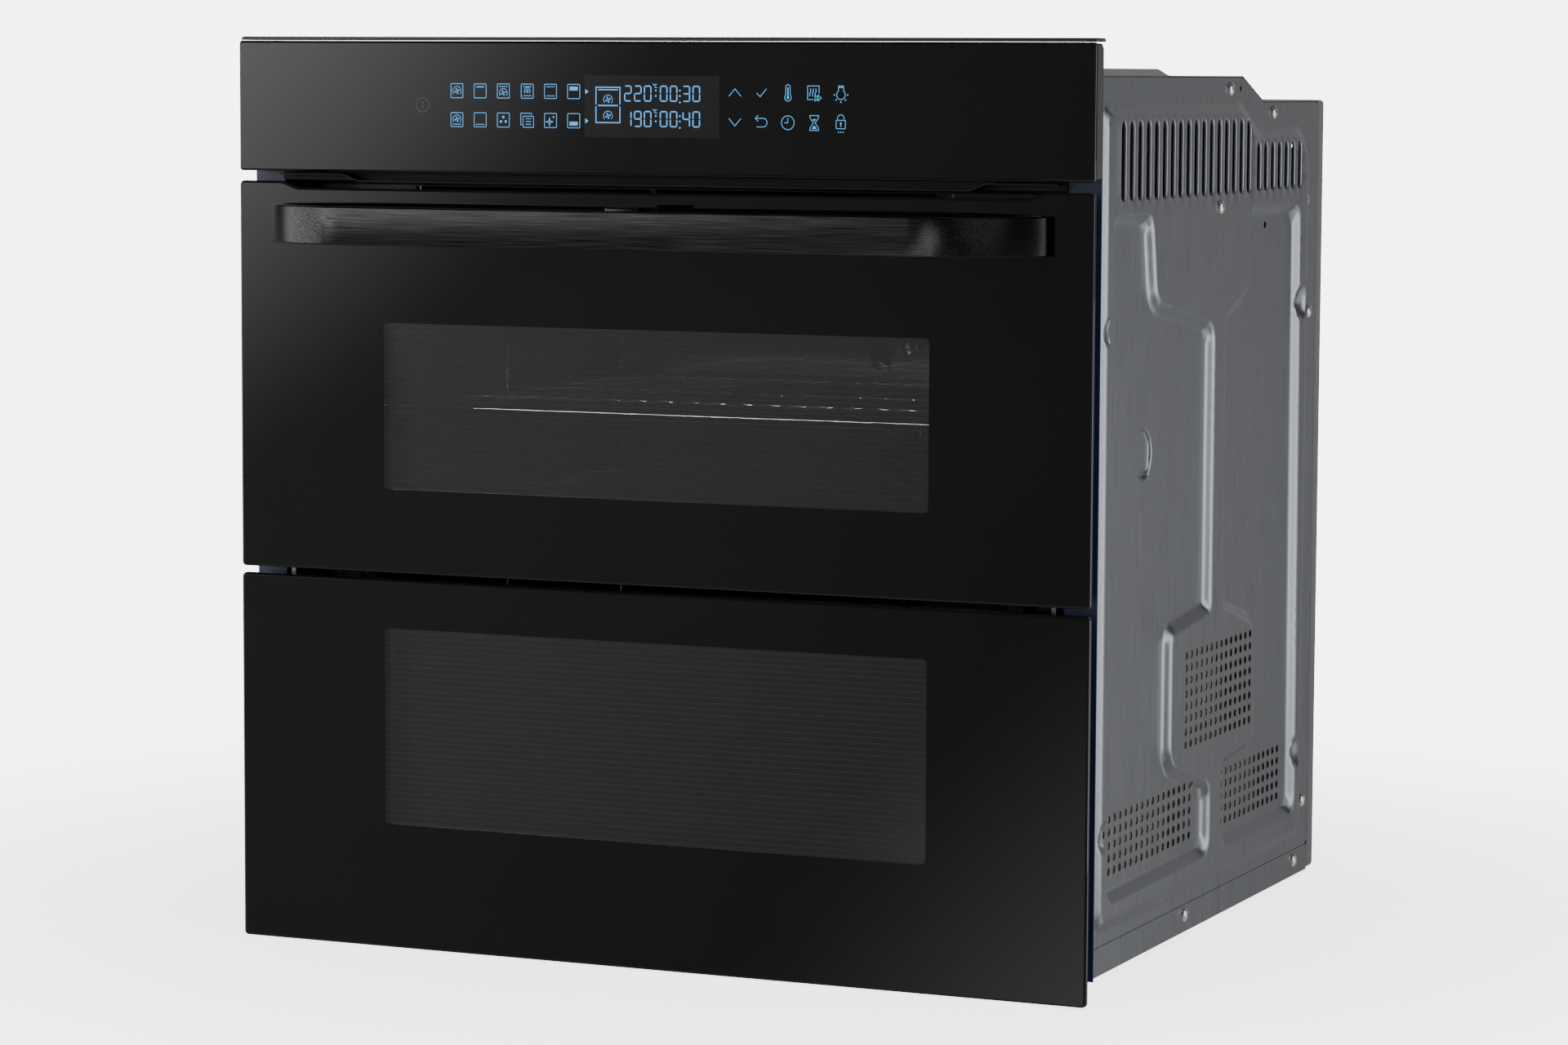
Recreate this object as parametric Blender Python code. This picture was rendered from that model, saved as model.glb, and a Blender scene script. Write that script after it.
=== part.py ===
"""A 60 cm built-in electric oven with a two-part door.

Metres, +Z up. The front faces -Y. The origin is on the underside of the base tray, midway
between the sides and midway between the back and the rear face of the front flange.
"""
import math

import bmesh
import bpy
from mathutils import Vector

MM = 0.001
GAP = 0.3 * MM            # play between pieces that rest on each other
SHEET = 1.2 * MM          # steel sheet of the case and the cavity

# Front
FRONT_HALF = 297.5 * MM   # half the width of the glass front
FRONT_Y = -284 * MM       # face of the glass
GLASS = 4 * MM
GLASS_BACK = FRONT_Y + GLASS
DOOR_BOTTOM = -4 * MM
LOWER_GLASS_TOP = 239.2 * MM
UPPER_GLASS_BOTTOM = 243.6 * MM
UPPER_GLASS_TOP = 493.8 * MM
EAR_TOP = 498 * MM
EAR_FOOT = 252 * MM       # where the cut between the ears is at full depth
EAR_HEAD = 268 * MM       # where the ears start
PANEL_BOTTOM = 504.5 * MM
PANEL_TOP = 589.3 * MM
CAP_TOP = 592 * MM
CAP_BACK = -262 * MM

# Case
CASE_HALF = 280 * MM      # over the raised field of the side panels
FLANGE_HALF = 276.5 * MM  # over the flat border of the side panels
CASE_FRONT = -264 * MM
CASE_BACK = 264 * MM
TRAY_SIDE = 18.5 * MM
TRAY_FRONT = -238.5 * MM
SIDE_TOP = 568.4 * MM
SIDE_TOP_REAR = 551.5 * MM
STEP_START = 71 * MM
STEP_END = 117.5 * MM
BACK_SEAM = 244 * MM
SLOT_WIDTH = 9 * MM

# Front frame
FRAME_HALF = 295.5 * MM
RECESS_HALF = 274 * MM
RECESS_Y = -240 * MM
RECESS_TOP = 500 * MM
FRAME_BOTTOM = 9 * MM

# Cavity
CAVITY_HALF = 228 * MM
CAVITY_BOTTOM = 62 * MM
CAVITY_TOP = 432 * MM
CAVITY_BACK = 190 * MM
CAVITY_RADIUS = 18 * MM
BAFFLE_Y = 160 * MM
DIVIDER = (237 * MM, 245 * MM)
FANS = {"upper": 342 * MM, "lower": 149 * MM}
FAN_RADIUS = 55 * MM
RING_RADIUS = 70 * MM
SHAFT_RADIUS = 4 * MM
LAMP = (60 * MM, 375 * MM)          # y and z on the right-hand wall
RACK_LEVELS = [100 * MM, 166 * MM, 278 * MM, 344 * MM]

# Doors
BODY_HALF = 266 * MM
BODY_BACK = -250 * MM
LOWER_BODY = (6 * MM, 236 * MM)
UPPER_BODY = (246 * MM, 488 * MM)
LOWER_AXIS = (-266 * MM, 20 * MM)   # y and z of the main hinge
UPPER_AXIS = (-274.5 * MM, 250 * MM)
HOOK = (268 * MM, 271 * MM)         # from and to, along X
BRACKET = (266.3 * MM, 269.3 * MM)
MID_PIN = 2.5 * MM         # radius of the upper door's pins

# Handle
HANDLE_HALF = 272 * MM
HANDLE_STANDOFF = 52 * MM
HANDLE_BEND = 83 * MM
HANDLE_THICK = 8 * MM
HANDLE_Z = (459 * MM, 483.5 * MM)
HANDLE_SCREW_X = 253 * MM
HANDLE_HEEL = 10 * MM       # how far the round inner side stops short of the glass

# Cooling blower
BLOWER_AXIS = (-10 * MM, 505 * MM)  # y and z
BLOWER_RADIUS = 26 * MM
BLOWER_HALF = 100 * MM

SIDES = {"left": -1, "right": 1}


# ---------------------------------------------------------------- materials
def material(name, colour, roughness, metallic):
    """A plain Principled finish."""
    made = bpy.data.materials.new(name)
    made.use_nodes = True
    shader = made.node_tree.nodes["Principled BSDF"]
    shader.inputs["Base Color"].default_value = (*colour, 1)
    shader.inputs["Roughness"].default_value = roughness
    shader.inputs["Metallic"].default_value = metallic
    return made


# ---------------------------------------------------------------- helpers
def clear_scene():
    for item in list(bpy.data.objects):
        bpy.data.objects.remove(item)


def empty(name, at, parent=None):
    """An axis or group marker at a world point."""
    marker = bpy.data.objects.new(name, None)
    marker.location = Vector(at) - world_of(parent)
    marker.parent = parent
    bpy.context.collection.objects.link(marker)
    return marker


def world_of(marker):
    """The world position of a marker, through its parents."""
    place = Vector((0, 0, 0))
    while marker is not None:
        place += marker.location
        marker = marker.parent
    return place


def body(name, bm, finish, parent, smooth=False):
    """Close a bmesh drawn in world places into an object whose origin is its parent's."""
    bmesh.ops.remove_doubles(bm, verts=bm.verts, dist=0.00001)
    bmesh.ops.recalc_face_normals(bm, faces=bm.faces)
    bmesh.ops.translate(bm, verts=bm.verts, vec=-world_of(parent))
    mesh = bpy.data.meshes.new(name)
    bm.to_mesh(mesh)
    bm.free()
    if smooth:
        mesh.shade_smooth()
        mesh.set_sharp_from_angle(angle=math.radians(35))
    mesh.materials.append(finish)
    made = bpy.data.objects.new(name, mesh)
    made.parent = parent
    bpy.context.collection.objects.link(made)
    return made


def loft(loops, closed=False, bm=None):
    """Skin a row of loops with as many points each: capped at both ends, or closed on itself."""
    bm = bm or bmesh.new()
    rings = [[bm.verts.new(point) for point in loop] for loop in loops]
    pairs = list(zip(rings, rings[1:]))
    if closed:
        pairs.append((rings[-1], rings[0]))
    for near, far in pairs:
        for i in range(len(near)):
            j = (i + 1) % len(near)
            bm.faces.new((near[i], near[j], far[j], far[i]))
    if not closed:
        bm.faces.new(rings[0][::-1])
        bm.faces.new(rings[-1])
    return bm


def prism(outline, axis, start, end, bm=None):
    """Carry a flat outline along an axis. It is (y, z), (x, z) or (x, y) for X, Y or Z."""
    place = {
        "X": lambda u, v, t: (t, u, v),
        "Y": lambda u, v, t: (u, t, v),
        "Z": lambda u, v, t: (u, v, t),
    }[axis]
    return loft([[place(u, v, t) for u, v in outline] for t in (start, end)], bm=bm)


def box(low, high, bm=None):
    outline = rectangle(low[0], high[0], low[1], high[1])
    return prism(outline, "Z", low[2], high[2], bm=bm)


def rectangle(u0, u1, v0, v1):
    return [(u0, v0), (u1, v0), (u1, v1), (u0, v1)]


def rounded(u0, u1, v0, v1, radius, steps=4):
    """A rectangle whose corners are quarter circles."""
    corners = [(u1 - radius, v1 - radius, 0), (u0 + radius, v1 - radius, 90),
               (u0 + radius, v0 + radius, 180), (u1 - radius, v0 + radius, 270)]
    points = []
    for cu, cv, start in corners:
        for k in range(steps + 1):
            turn = math.radians(start + 90 * k / steps)
            points.append((cu + radius * math.cos(turn), cv + radius * math.sin(turn)))
    return points


def rim(half, low, high, y, radius):
    """A rounded rectangle that faces -Y, centred on x = 0."""
    return [(x, y, z) for x, z in rounded(-half, half, low, high, radius)]


def circle(centre, radius, axis, at, steps):
    """A circle about a line along X or Y; centre is (y, z) or (x, z)."""
    points = []
    for k in range(steps):
        turn = 2 * math.pi * k / steps
        u = centre[0] + radius * math.cos(turn)
        v = centre[1] + radius * math.sin(turn)
        points.append((at, u, v) if axis == "X" else (u, at, v))
    return points


def turned(profile, centre, axis, steps=20, closed=False, bm=None):
    """Turn a profile of (radius, place along the axis)."""
    loops = [circle(centre, radius, axis, at, steps) for radius, at in profile]
    return loft(loops, closed=closed, bm=bm)


def rod(centre, radius, axis, start, end, steps=14, bm=None):
    return turned([(radius, start), (radius, end)], centre, axis, steps, bm=bm)


def cut(target, bm, operation="DIFFERENCE"):
    """Cut one or more closed shapes out of a body, or join them to it."""
    bmesh.ops.recalc_face_normals(bm, faces=bm.faces)
    mesh = bpy.data.meshes.new(target.name + "_cutter")
    bm.to_mesh(mesh)
    bm.free()
    cutter = bpy.data.objects.new(mesh.name, mesh)
    cutter.location = (0, 0, 0)
    cutter.hide_render = True
    cutter.display_type = "WIRE"
    bpy.context.collection.objects.link(cutter)
    step = target.modifiers.new(operation.title(), "BOOLEAN")
    step.operation = operation
    step.solver = "EXACT"
    step.object = cutter


def wire(name, points, radius, finish, parent):
    """A round bar along a polyline."""
    curve = bpy.data.curves.new(name, "CURVE")
    curve.dimensions = "3D"
    curve.bevel_depth = radius
    curve.bevel_resolution = 1
    curve.use_fill_caps = True
    line = curve.splines.new("POLY")
    line.points.add(len(points) - 1)
    origin = world_of(parent)
    for slot, point in zip(line.points, points):
        slot.co = (*(Vector(point) - origin), 1)
    curve.materials.append(finish)
    made = bpy.data.objects.new(name, curve)
    made.parent = parent
    bpy.context.collection.objects.link(made)
    return made


def lattice(name, u_bars, v_bars, u_range, v_range, place, finish, parent):
    """Square bars crossing in one layer. u_bars stand at u and run along v; v_bars the other way.

    place(u, v, side) gives the world point of a corner on the near (0) or far (1) side.
    """
    us = sorted({u_range[0], u_range[1], *[e for bar in u_bars for e in bar]})
    vs = sorted({v_range[0], v_range[1], *[e for bar in v_bars for e in bar]})

    def inside(value, bars):
        return any(low <= value <= high for low, high in bars)

    bm = bmesh.new()
    corners = {}

    def corner(i, j, side):
        if (i, j, side) not in corners:
            corners[i, j, side] = bm.verts.new(place(us[i], vs[j], side))
        return corners[i, j, side]

    solid = {
        (i, j)
        for i in range(len(us) - 1)
        for j in range(len(vs) - 1)
        if inside((us[i] + us[i + 1]) / 2, u_bars) or inside((vs[j] + vs[j + 1]) / 2, v_bars)
    }
    for i, j in solid:
        square = [(i, j), (i + 1, j), (i + 1, j + 1), (i, j + 1)]
        for side in (0, 1):
            bm.faces.new([corner(*c, side) for c in square])
        around = {(i, j - 1): 0, (i + 1, j): 1, (i, j + 1): 2, (i - 1, j): 3}
        for cell, edge in around.items():
            if cell not in solid:
                a, b = square[edge], square[(edge + 1) % 4]
                bm.faces.new([corner(*a, 0), corner(*b, 0), corner(*b, 1), corner(*a, 1)])
    return body(name, bm, finish, parent)


# ---------------------------------------------------------------- case
def base_tray(steel, oven):
    """A tray with upstands at its sides."""
    half = FLANGE_HALF
    outline = [(-half, 0), (half, 0), (half, TRAY_SIDE), (half - SHEET, TRAY_SIDE),
               (half - SHEET, SHEET), (SHEET - half, SHEET), (SHEET - half, TRAY_SIDE),
               (-half, TRAY_SIDE)]
    return body("base_tray", prism(outline, "Y", TRAY_FRONT, BACK_SEAM), steel, oven)


def side_outline(x, inset):
    """The side's outline in (y, z), stepped down at the rear, drawn in by an inset."""
    low = TRAY_SIDE + GAP + inset
    front = CASE_FRONT + GAP + inset
    rear = BACK_SEAM - inset
    outline = [(front, low), (rear, low), (rear, SIDE_TOP_REAR - inset),
               (STEP_END - inset * 0.3, SIDE_TOP_REAR - inset),
               (STEP_START - inset * 0.3, SIDE_TOP - inset), (front, SIDE_TOP - inset)]
    return [(x, y, z) for y, z in outline]


def side_panel(name, side, steel, oven):
    """Sheet with a raised field and two rows of vent slots."""
    border, slope = 12 * MM, 18 * MM
    outer_flat, outer_field = FLANGE_HALF, CASE_HALF
    loops = [
        side_outline(side * (outer_flat - SHEET), 0),
        side_outline(side * outer_flat, 0),
        side_outline(side * outer_flat, border),
        side_outline(side * outer_field, slope),
    ]
    inner = [
        side_outline(side * (outer_field - SHEET), slope + SHEET),
        side_outline(side * (outer_flat - SHEET), border + SHEET),
    ]
    bm = bmesh.new()
    rings = [[bm.verts.new(p) for p in loop] for loop in loops + inner]
    count = len(rings[0])
    for near, far in [(0, 1), (1, 2), (2, 3), (4, 5), (5, 0)]:
        for i in range(count):
            j = (i + 1) % count
            bm.faces.new((rings[near][i], rings[near][j], rings[far][j], rings[far][i]))
    bm.faces.new(rings[3])
    bm.faces.new(rings[4])
    panel = body(name, bm, steel, oven)
    slots = bmesh.new()
    reach = sorted((side * 270 * MM, side * 290 * MM))
    for k in range(17):
        y = -183 * MM + k * 16.2 * MM
        box((reach[0], y, 490.4 * MM), (reach[1], y + SLOT_WIDTH, 541 * MM), slots)
    for k in range(7):
        y = 96.3 * MM + k * 15.9 * MM
        box((reach[0], y, 491 * MM), (reach[1], y + SLOT_WIDTH, 525 * MM), slots)
    cut(panel, slots)
    return panel


def top_cover(steel, oven):
    """A sheet that follows the stepped top of the sides."""
    front, rear = CASE_FRONT + GAP, BACK_SEAM
    low = [(front, SIDE_TOP + GAP), (STEP_START, SIDE_TOP + GAP),
           (STEP_END, SIDE_TOP_REAR + GAP), (rear, SIDE_TOP_REAR + GAP)]
    high = [(y, z + SHEET) for y, z in reversed(low)]
    return body("top_cover", prism(low + high, "X", -FLANGE_HALF, FLANGE_HALF), steel, oven)


def back_panel(steel, oven):
    """A shallow pan whose flanges meet the sides, the tray and the top."""
    low, high = 0, SIDE_TOP_REAR + GAP + SHEET
    inner = FLANGE_HALF - SHEET
    loops = [rim(inner, low + SHEET, high - SHEET, CASE_BACK - SHEET, 3 * MM),
             rim(inner, low + SHEET, high - SHEET, BACK_SEAM + GAP, 3 * MM),
             rim(FLANGE_HALF, low, high, BACK_SEAM + GAP, 4 * MM),
             rim(FLANGE_HALF, low, high, CASE_BACK, 4 * MM)]
    return body("back_panel", loft(loops), steel, oven)


def front_frame(enamel, oven):
    """The flange that meets the cabinet, the recess of the doors and the cavity's mouth."""
    flange_back, flange_front = CASE_FRONT, CASE_FRONT - SHEET
    wall = RECESS_HALF + SHEET
    below = -30 * MM
    corner = 3 * MM
    mouth = (CAVITY_HALF, CAVITY_BOTTOM, CAVITY_TOP)
    loops = [
        rim(FRAME_HALF, below, 588 * MM, flange_front, corner),
        rim(FRAME_HALF, below, 588 * MM, flange_back, corner),
        rim(wall, below / 2, RECESS_TOP + SHEET, flange_back, corner),
        rim(wall, below / 2, RECESS_TOP + SHEET, RECESS_Y + SHEET, corner),
        rim(*mouth, RECESS_Y + SHEET, CAVITY_RADIUS),
        rim(*mouth, RECESS_Y, CAVITY_RADIUS),
        rim(RECESS_HALF, below / 2 + SHEET, RECESS_TOP, RECESS_Y, corner),
        rim(RECESS_HALF, below / 2 + SHEET, RECESS_TOP, flange_front, corner),
    ]
    frame = body("front_frame", loft(loops, closed=True), enamel, oven)
    holes = bmesh.new()
    wide = 400 * MM
    box((-wide, -300 * MM, -60 * MM), (wide, RECESS_Y - 0.01 * MM, FRAME_BOTTOM), holes)
    cut(frame, holes)
    holes = bmesh.new()
    box((-wide, -300 * MM, -60 * MM), (wide, -200 * MM, 1.5 * MM), holes)
    box((-268 * MM, -300 * MM, 508 * MM), (268 * MM, -250 * MM, 576 * MM), holes)
    box((-190 * MM, -245 * MM, 475 * MM), (190 * MM, -230 * MM, 495 * MM), holes)
    for side in SIDES.values():
        reach = sorted((side * (HOOK[0] - 1 * MM), side * (HOOK[1] + 1 * MM)))
        box((reach[0], -245 * MM, 11 * MM), (reach[1], -230 * MM, 30 * MM), holes)
    cut(frame, holes)
    return frame


def hinge_receiver(name, side, steel, oven):
    """The slotted box behind the frame that takes a hinge's hook."""
    reach = sorted((side * 258.5 * MM, side * 274.8 * MM))
    front, rear = -238.3 * MM, -180 * MM
    block = body(name, box((reach[0], front, 6 * MM), (reach[1], rear, 34 * MM)), steel, oven)
    slot = sorted((side * (HOOK[0] - GAP), side * (HOOK[1] + GAP)))
    low = (slot[0], front - 5 * MM, 12.7 * MM)
    cut(block, box(low, (slot[1], -195 * MM, 28.3 * MM)))
    return block


def eye_plate(centre, radius, tail):
    """A plate's outline in (y, z): a round end about a pin, and a straight tail."""
    y, z = centre
    arc = []
    for k in range(13):
        turn = math.radians(tail["from"] + (tail["to"] - tail["from"]) * k / 12)
        arc.append((y + radius * math.cos(turn), z + radius * math.sin(turn)))
    return arc + tail["ends"]


def hinge_hook(name, side, steel, oven):
    """The fixed half of the main hinge: an eye about the pin and a tail in the receiver."""
    tail = {"from": 90, "to": 270, "ends": [(-200 * MM, 13 * MM), (-200 * MM, 28 * MM)]}
    outline = eye_plate(LOWER_AXIS, 7 * MM, tail)
    reach = sorted((side * HOOK[0], side * HOOK[1]))
    hook = body(name, prism(outline, "X", *reach), steel, oven)
    cut(hook, rod(LOWER_AXIS, 4.3 * MM, "X", -0.3, 0.3))
    return hook


# ---------------------------------------------------------------- cavity
def wall_openings(clearance):
    """The holes that the cavity's liner and its blanket share."""
    bm = bmesh.new()
    ends = (CAVITY_BACK - 10 * MM, CAVITY_BACK + 40 * MM)
    for z in FANS.values():
        rod((0, z), SHAFT_RADIUS + clearance, "Y", *ends, bm=bm)
        for x in heater_legs():
            rod((x, z - RING_RADIUS), 3.2 * MM + clearance, "Y", *ends, bm=bm)
    for x in (-30 * MM, 30 * MM):
        rod((x, 418 * MM), 3.2 * MM + clearance, "Y", *ends, bm=bm)
    rod((-212 * MM, 400 * MM), 3 * MM + clearance, "Y", *ends, bm=bm)
    rod(LAMP, 20 * MM + clearance, "X", 215 * MM, 300 * MM, steps=20, bm=bm)
    return bm


def heater_legs():
    """Where the two ends of a ring heater turn back, across x."""
    return (-12 * MM, 12 * MM)


def cavity_liner(enamel, oven):
    flange, radius = 14 * MM, CAVITY_RADIUS
    half, low, high = CAVITY_HALF, CAVITY_BOTTOM, CAVITY_TOP
    front = RECESS_Y + SHEET + GAP
    loops = [
        rim(half, low, high, CAVITY_BACK, radius),
        rim(half, low, high, front, radius),
        rim(half + flange, low - flange, high + flange, front, radius),
        rim(half + flange, low - flange, high + flange, front + SHEET, radius),
        rim(half + SHEET, low - SHEET, high + SHEET, front + SHEET, radius),
        rim(half + SHEET, low - SHEET, high + SHEET, CAVITY_BACK + SHEET, radius),
    ]
    liner = body("cavity_liner", loft(loops), enamel, oven)
    cut(liner, wall_openings(1 * MM))
    return liner


def insulation(wool, oven):
    """The blanket round the cavity, with room below it for the bottom element."""
    front, rear = -236.6 * MM, 216 * MM
    inner = (CAVITY_HALF + SHEET + GAP, 52 * MM, CAVITY_TOP + SHEET + GAP)
    outer = (256 * MM, 26 * MM, 458 * MM)
    loops = [
        rim(*inner, CAVITY_BACK + SHEET + GAP, CAVITY_RADIUS),
        rim(*inner, front, CAVITY_RADIUS),
        rim(*outer, front, CAVITY_RADIUS),
        rim(*outer, rear, CAVITY_RADIUS),
    ]
    blanket = body("insulation", loft(loops), wool, oven)
    cut(blanket, wall_openings(3 * MM))
    return blanket


def door_gasket(rubber, oven):
    """A hollow bead round the mouth, pressed by the inner panes' frames."""
    front, rear = BODY_BACK + 0.6 * MM, RECESS_Y - GAP
    inner = (CAVITY_HALF + 4 * MM, CAVITY_BOTTOM - 4 * MM, CAVITY_TOP + 4 * MM)
    wide, bulge = 12 * MM, 3 * MM
    loops = []
    for out, y in ((0, rear), (wide, rear), (wide - bulge, front), (bulge, front)):
        loops.append(rim(inner[0] + out, inner[1] - out, inner[2] + out, y, CAVITY_RADIUS + out))
    return body("door_gasket", loft(loops, closed=True), rubber, oven)


def divider_plate(steel, oven):
    """The loose plate that makes two cavities of one, with a bevelled rim."""
    half, front, rear = 219 * MM, -236 * MM, 157 * MM
    low, high = DIVIDER
    inset = 8 * MM
    loops = [
        [(x, y, low) for x, y in rounded(-half + inset, half - inset, front + inset, rear - inset, 8 * MM)],
        [(x, y, low + 3 * MM) for x, y in rounded(-half, half, front, rear, 8 * MM)],
        [(x, y, high) for x, y in rounded(-half, half, front, rear, 8 * MM)],
    ]
    return body("divider_plate", loft(loops), steel, oven)


def fan_baffle(steel, oven):
    """The plate in front of the fans, with a ring of intake holes at each."""
    plate = body("fan_baffle", loft([
        rim(200 * MM, 70 * MM, 410 * MM, BAFFLE_Y, 12 * MM),
        rim(200 * MM, 70 * MM, 410 * MM, BAFFLE_Y + SHEET, 12 * MM),
    ]), steel, oven)
    holes = bmesh.new()
    for z in FANS.values():
        for k in range(8):
            turn = 2 * math.pi * k / 8
            centre = (32 * MM * math.cos(turn), z + 32 * MM * math.sin(turn))
            rod(centre, 9 * MM, "Y", BAFFLE_Y - 5 * MM, BAFFLE_Y + 5 * MM, steps=10, bm=holes)
    cut(plate, holes)
    return plate


def ring_heater(name, z, steel, oven):
    """An almost closed ring round the fan whose ends turn back through the wall."""
    y, end = 178 * MM, 224 * MM
    gap = math.asin(heater_legs()[1] / RING_RADIUS)
    steps = 28
    ring = []
    for k in range(steps + 1):
        turn = -math.pi / 2 + gap + (2 * math.pi - 2 * gap) * k / steps
        ring.append((RING_RADIUS * math.cos(turn), y, z + RING_RADIUS * math.sin(turn)))
    first, last = ring[0], ring[-1]
    foot = z - RING_RADIUS
    ring[0] = (heater_legs()[1], y, foot)
    ring[-1] = (heater_legs()[0], y, foot)
    path = [(first[0], end, foot)] + ring + [(last[0], end, foot)]
    return wire(name, path, 3.2 * MM, steel, oven)


def serpentine(across, along, passes):
    """Points (u, v) of a flat run to and fro along v that steps across u, with cut corners."""
    pitch = (across[1] - across[0]) / (passes - 1)
    turn = pitch * 0.3
    points = []
    for k in range(passes):
        u = across[0] + pitch * k
        start, end = along if k % 2 == 0 else along[::-1]
        way = math.copysign(1, end - start)
        points += [(u, start + way * turn), (u, end - way * turn)]
        if k < passes - 1:
            points += [(u + turn, end), (u + pitch - turn, end)]
    return points


def grill_element(steel, oven):
    """A serpentine under the cavity's roof whose two ends go back through the wall."""
    z, leg, back, end = 418 * MM, 30 * MM, 150 * MM, 224 * MM
    half = 190 * MM
    lead, cut_corner = 25 * MM, 12 * MM
    run = serpentine((-half, half), (back - lead, -170 * MM), 8)
    flat = [(-leg, end), (-leg, back), (cut_corner - half, back), (-half, back - cut_corner)]
    flat += run + [(-x, y) for x, y in flat[::-1]]
    return wire("grill_element", [(x, y, z) for x, y in flat], 3.2 * MM, steel, oven)


def bottom_element(steel, oven):
    """The hidden element between the cavity's floor and the blanket."""
    run = serpentine((-180 * MM, 140 * MM), (-180 * MM, 180 * MM), 6)
    path = [(x, y, 56.4 * MM) for y, x in run]
    return wire("bottom_element", path, 3 * MM, steel, oven)


def side_rack(name, side, chrome, oven):
    """A ladder of bars that carries the rack and the divider plate."""
    bar = 4 * MM
    rungs = [(z - bar, z) for z in RACK_LEVELS] + [(232 * MM, 236 * MM), (76 * MM, 80 * MM),
                                                     (406 * MM, 410 * MM)]
    posts = [(y, y + bar) for y in (-225 * MM, -40 * MM, 146 * MM)]
    near, far = side * 221.5 * MM, side * 226 * MM

    def place(y, z, layer):
        return ((near, far)[layer], y, z)

    return lattice(name, posts, rungs, (-225 * MM, 150 * MM), (76 * MM, 410 * MM), place, chrome, oven)


def wire_rack(chrome, oven):
    """The grid shelf: thin bars from front to back inside a heavier border."""
    z, half = RACK_LEVELS[3] + GAP, 219 * MM
    thin, border = 2.4 * MM, 6 * MM
    pitch = 19.5 * MM
    bars = [(-half, -half + border), (half - border, half)]
    bars += [(k * pitch - thin / 2, k * pitch + thin / 2) for k in range(-10, 11)]
    cross = [(y, y + border) for y in (-225 * MM, -90 * MM, 10 * MM, 144 * MM)]

    def place(x, y, layer):
        return (x, y, z + layer * 5 * MM)

    return lattice("wire_rack", bars, cross, (-half, half), (-225 * MM, 150 * MM), place, chrome, oven)


def lamp(glass, steel, oven):
    """A lens in the cavity's right-hand wall, the holder behind it, and the bulb."""
    lens = [(17 * MM, 222 * MM), (20 * MM, 225 * MM), (20 * MM, 229 * MM), (17 * MM, 230 * MM)]
    body("lamp_lens", turned(lens, LAMP, "X"), glass, oven, smooth=True)
    cup = [(17 * MM, 252 * MM), (17 * MM, 231 * MM), (20 * MM, 231 * MM), (20 * MM, 254 * MM)]
    body("lamp_holder", turned(cup, LAMP, "X"), steel, oven, smooth=True)
    bulb = [(5 * MM, 233 * MM), (9 * MM, 236 * MM), (9 * MM, 245 * MM), (5 * MM, 251.7 * MM)]
    body("lamp_bulb", turned(bulb, LAMP, "X", steps=14), glass, oven, smooth=True)


def fan_motor(name, z, steel, oven):
    profile = [(4.5 * MM, 217 * MM), (30 * MM, 217 * MM), (38 * MM, 224 * MM),
               (38 * MM, 250 * MM), (20 * MM, 256 * MM), (4.5 * MM, 256 * MM)]
    return body(name, turned(profile, (0, z), "Y", closed=True), steel, oven, smooth=True)


def blade_outline(centre, hub, tip, count, lean):
    """A wheel's outline: straight blades that lean, standing on a round hub."""
    points = []
    step = 2 * math.pi / count
    for k in range(count):
        for radius, turn in ((hub, 0.0), (tip, lean), (tip, lean + 0.13), (hub, 0.32)):
            angle = step * k + turn
            points.append((centre[0] + radius * math.cos(angle), centre[1] + radius * math.sin(angle)))
    return points


def fan_wheel(name, z, steel, parent):
    """A paddle wheel on its shaft, behind the baffle."""
    outline = blade_outline((0, z), 16 * MM, FAN_RADIUS, 8, 0.2)
    wheel = body(name, prism(outline, "Y", 168 * MM, 184 * MM), steel, parent)
    shaft = turned([(SHAFT_RADIUS, 176 * MM), (SHAFT_RADIUS, 254 * MM)], (0, z), "Y", 14)
    cut(wheel, shaft, "UNION")
    return wheel


def probe(steel, oven):
    """The thermometer's rod, through the rear wall beside the baffle."""
    tip = rod((-212 * MM, 400 * MM), 3 * MM, "Y", 110 * MM, 224 * MM)
    return body("temperature_probe", tip, steel, oven, smooth=True)


# ---------------------------------------------------------------- top bay
def air_duct(steel, oven):
    """The flat duct from the blower to the slot above the doors."""
    front, rear = RECESS_Y + SHEET + GAP, -58 * MM
    outer = rectangle(-188 * MM, 188 * MM, 472 * MM, 498 * MM)
    inner = rectangle(-186.8 * MM, 186.8 * MM, 473.2 * MM, 496.8 * MM)
    loops = [[(x, y, z) for x, z in outline]
             for outline, y in ((outer, front), (outer, rear), (inner, rear), (inner, front))]
    return body("air_duct", loft(loops, closed=True), steel, oven)


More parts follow.
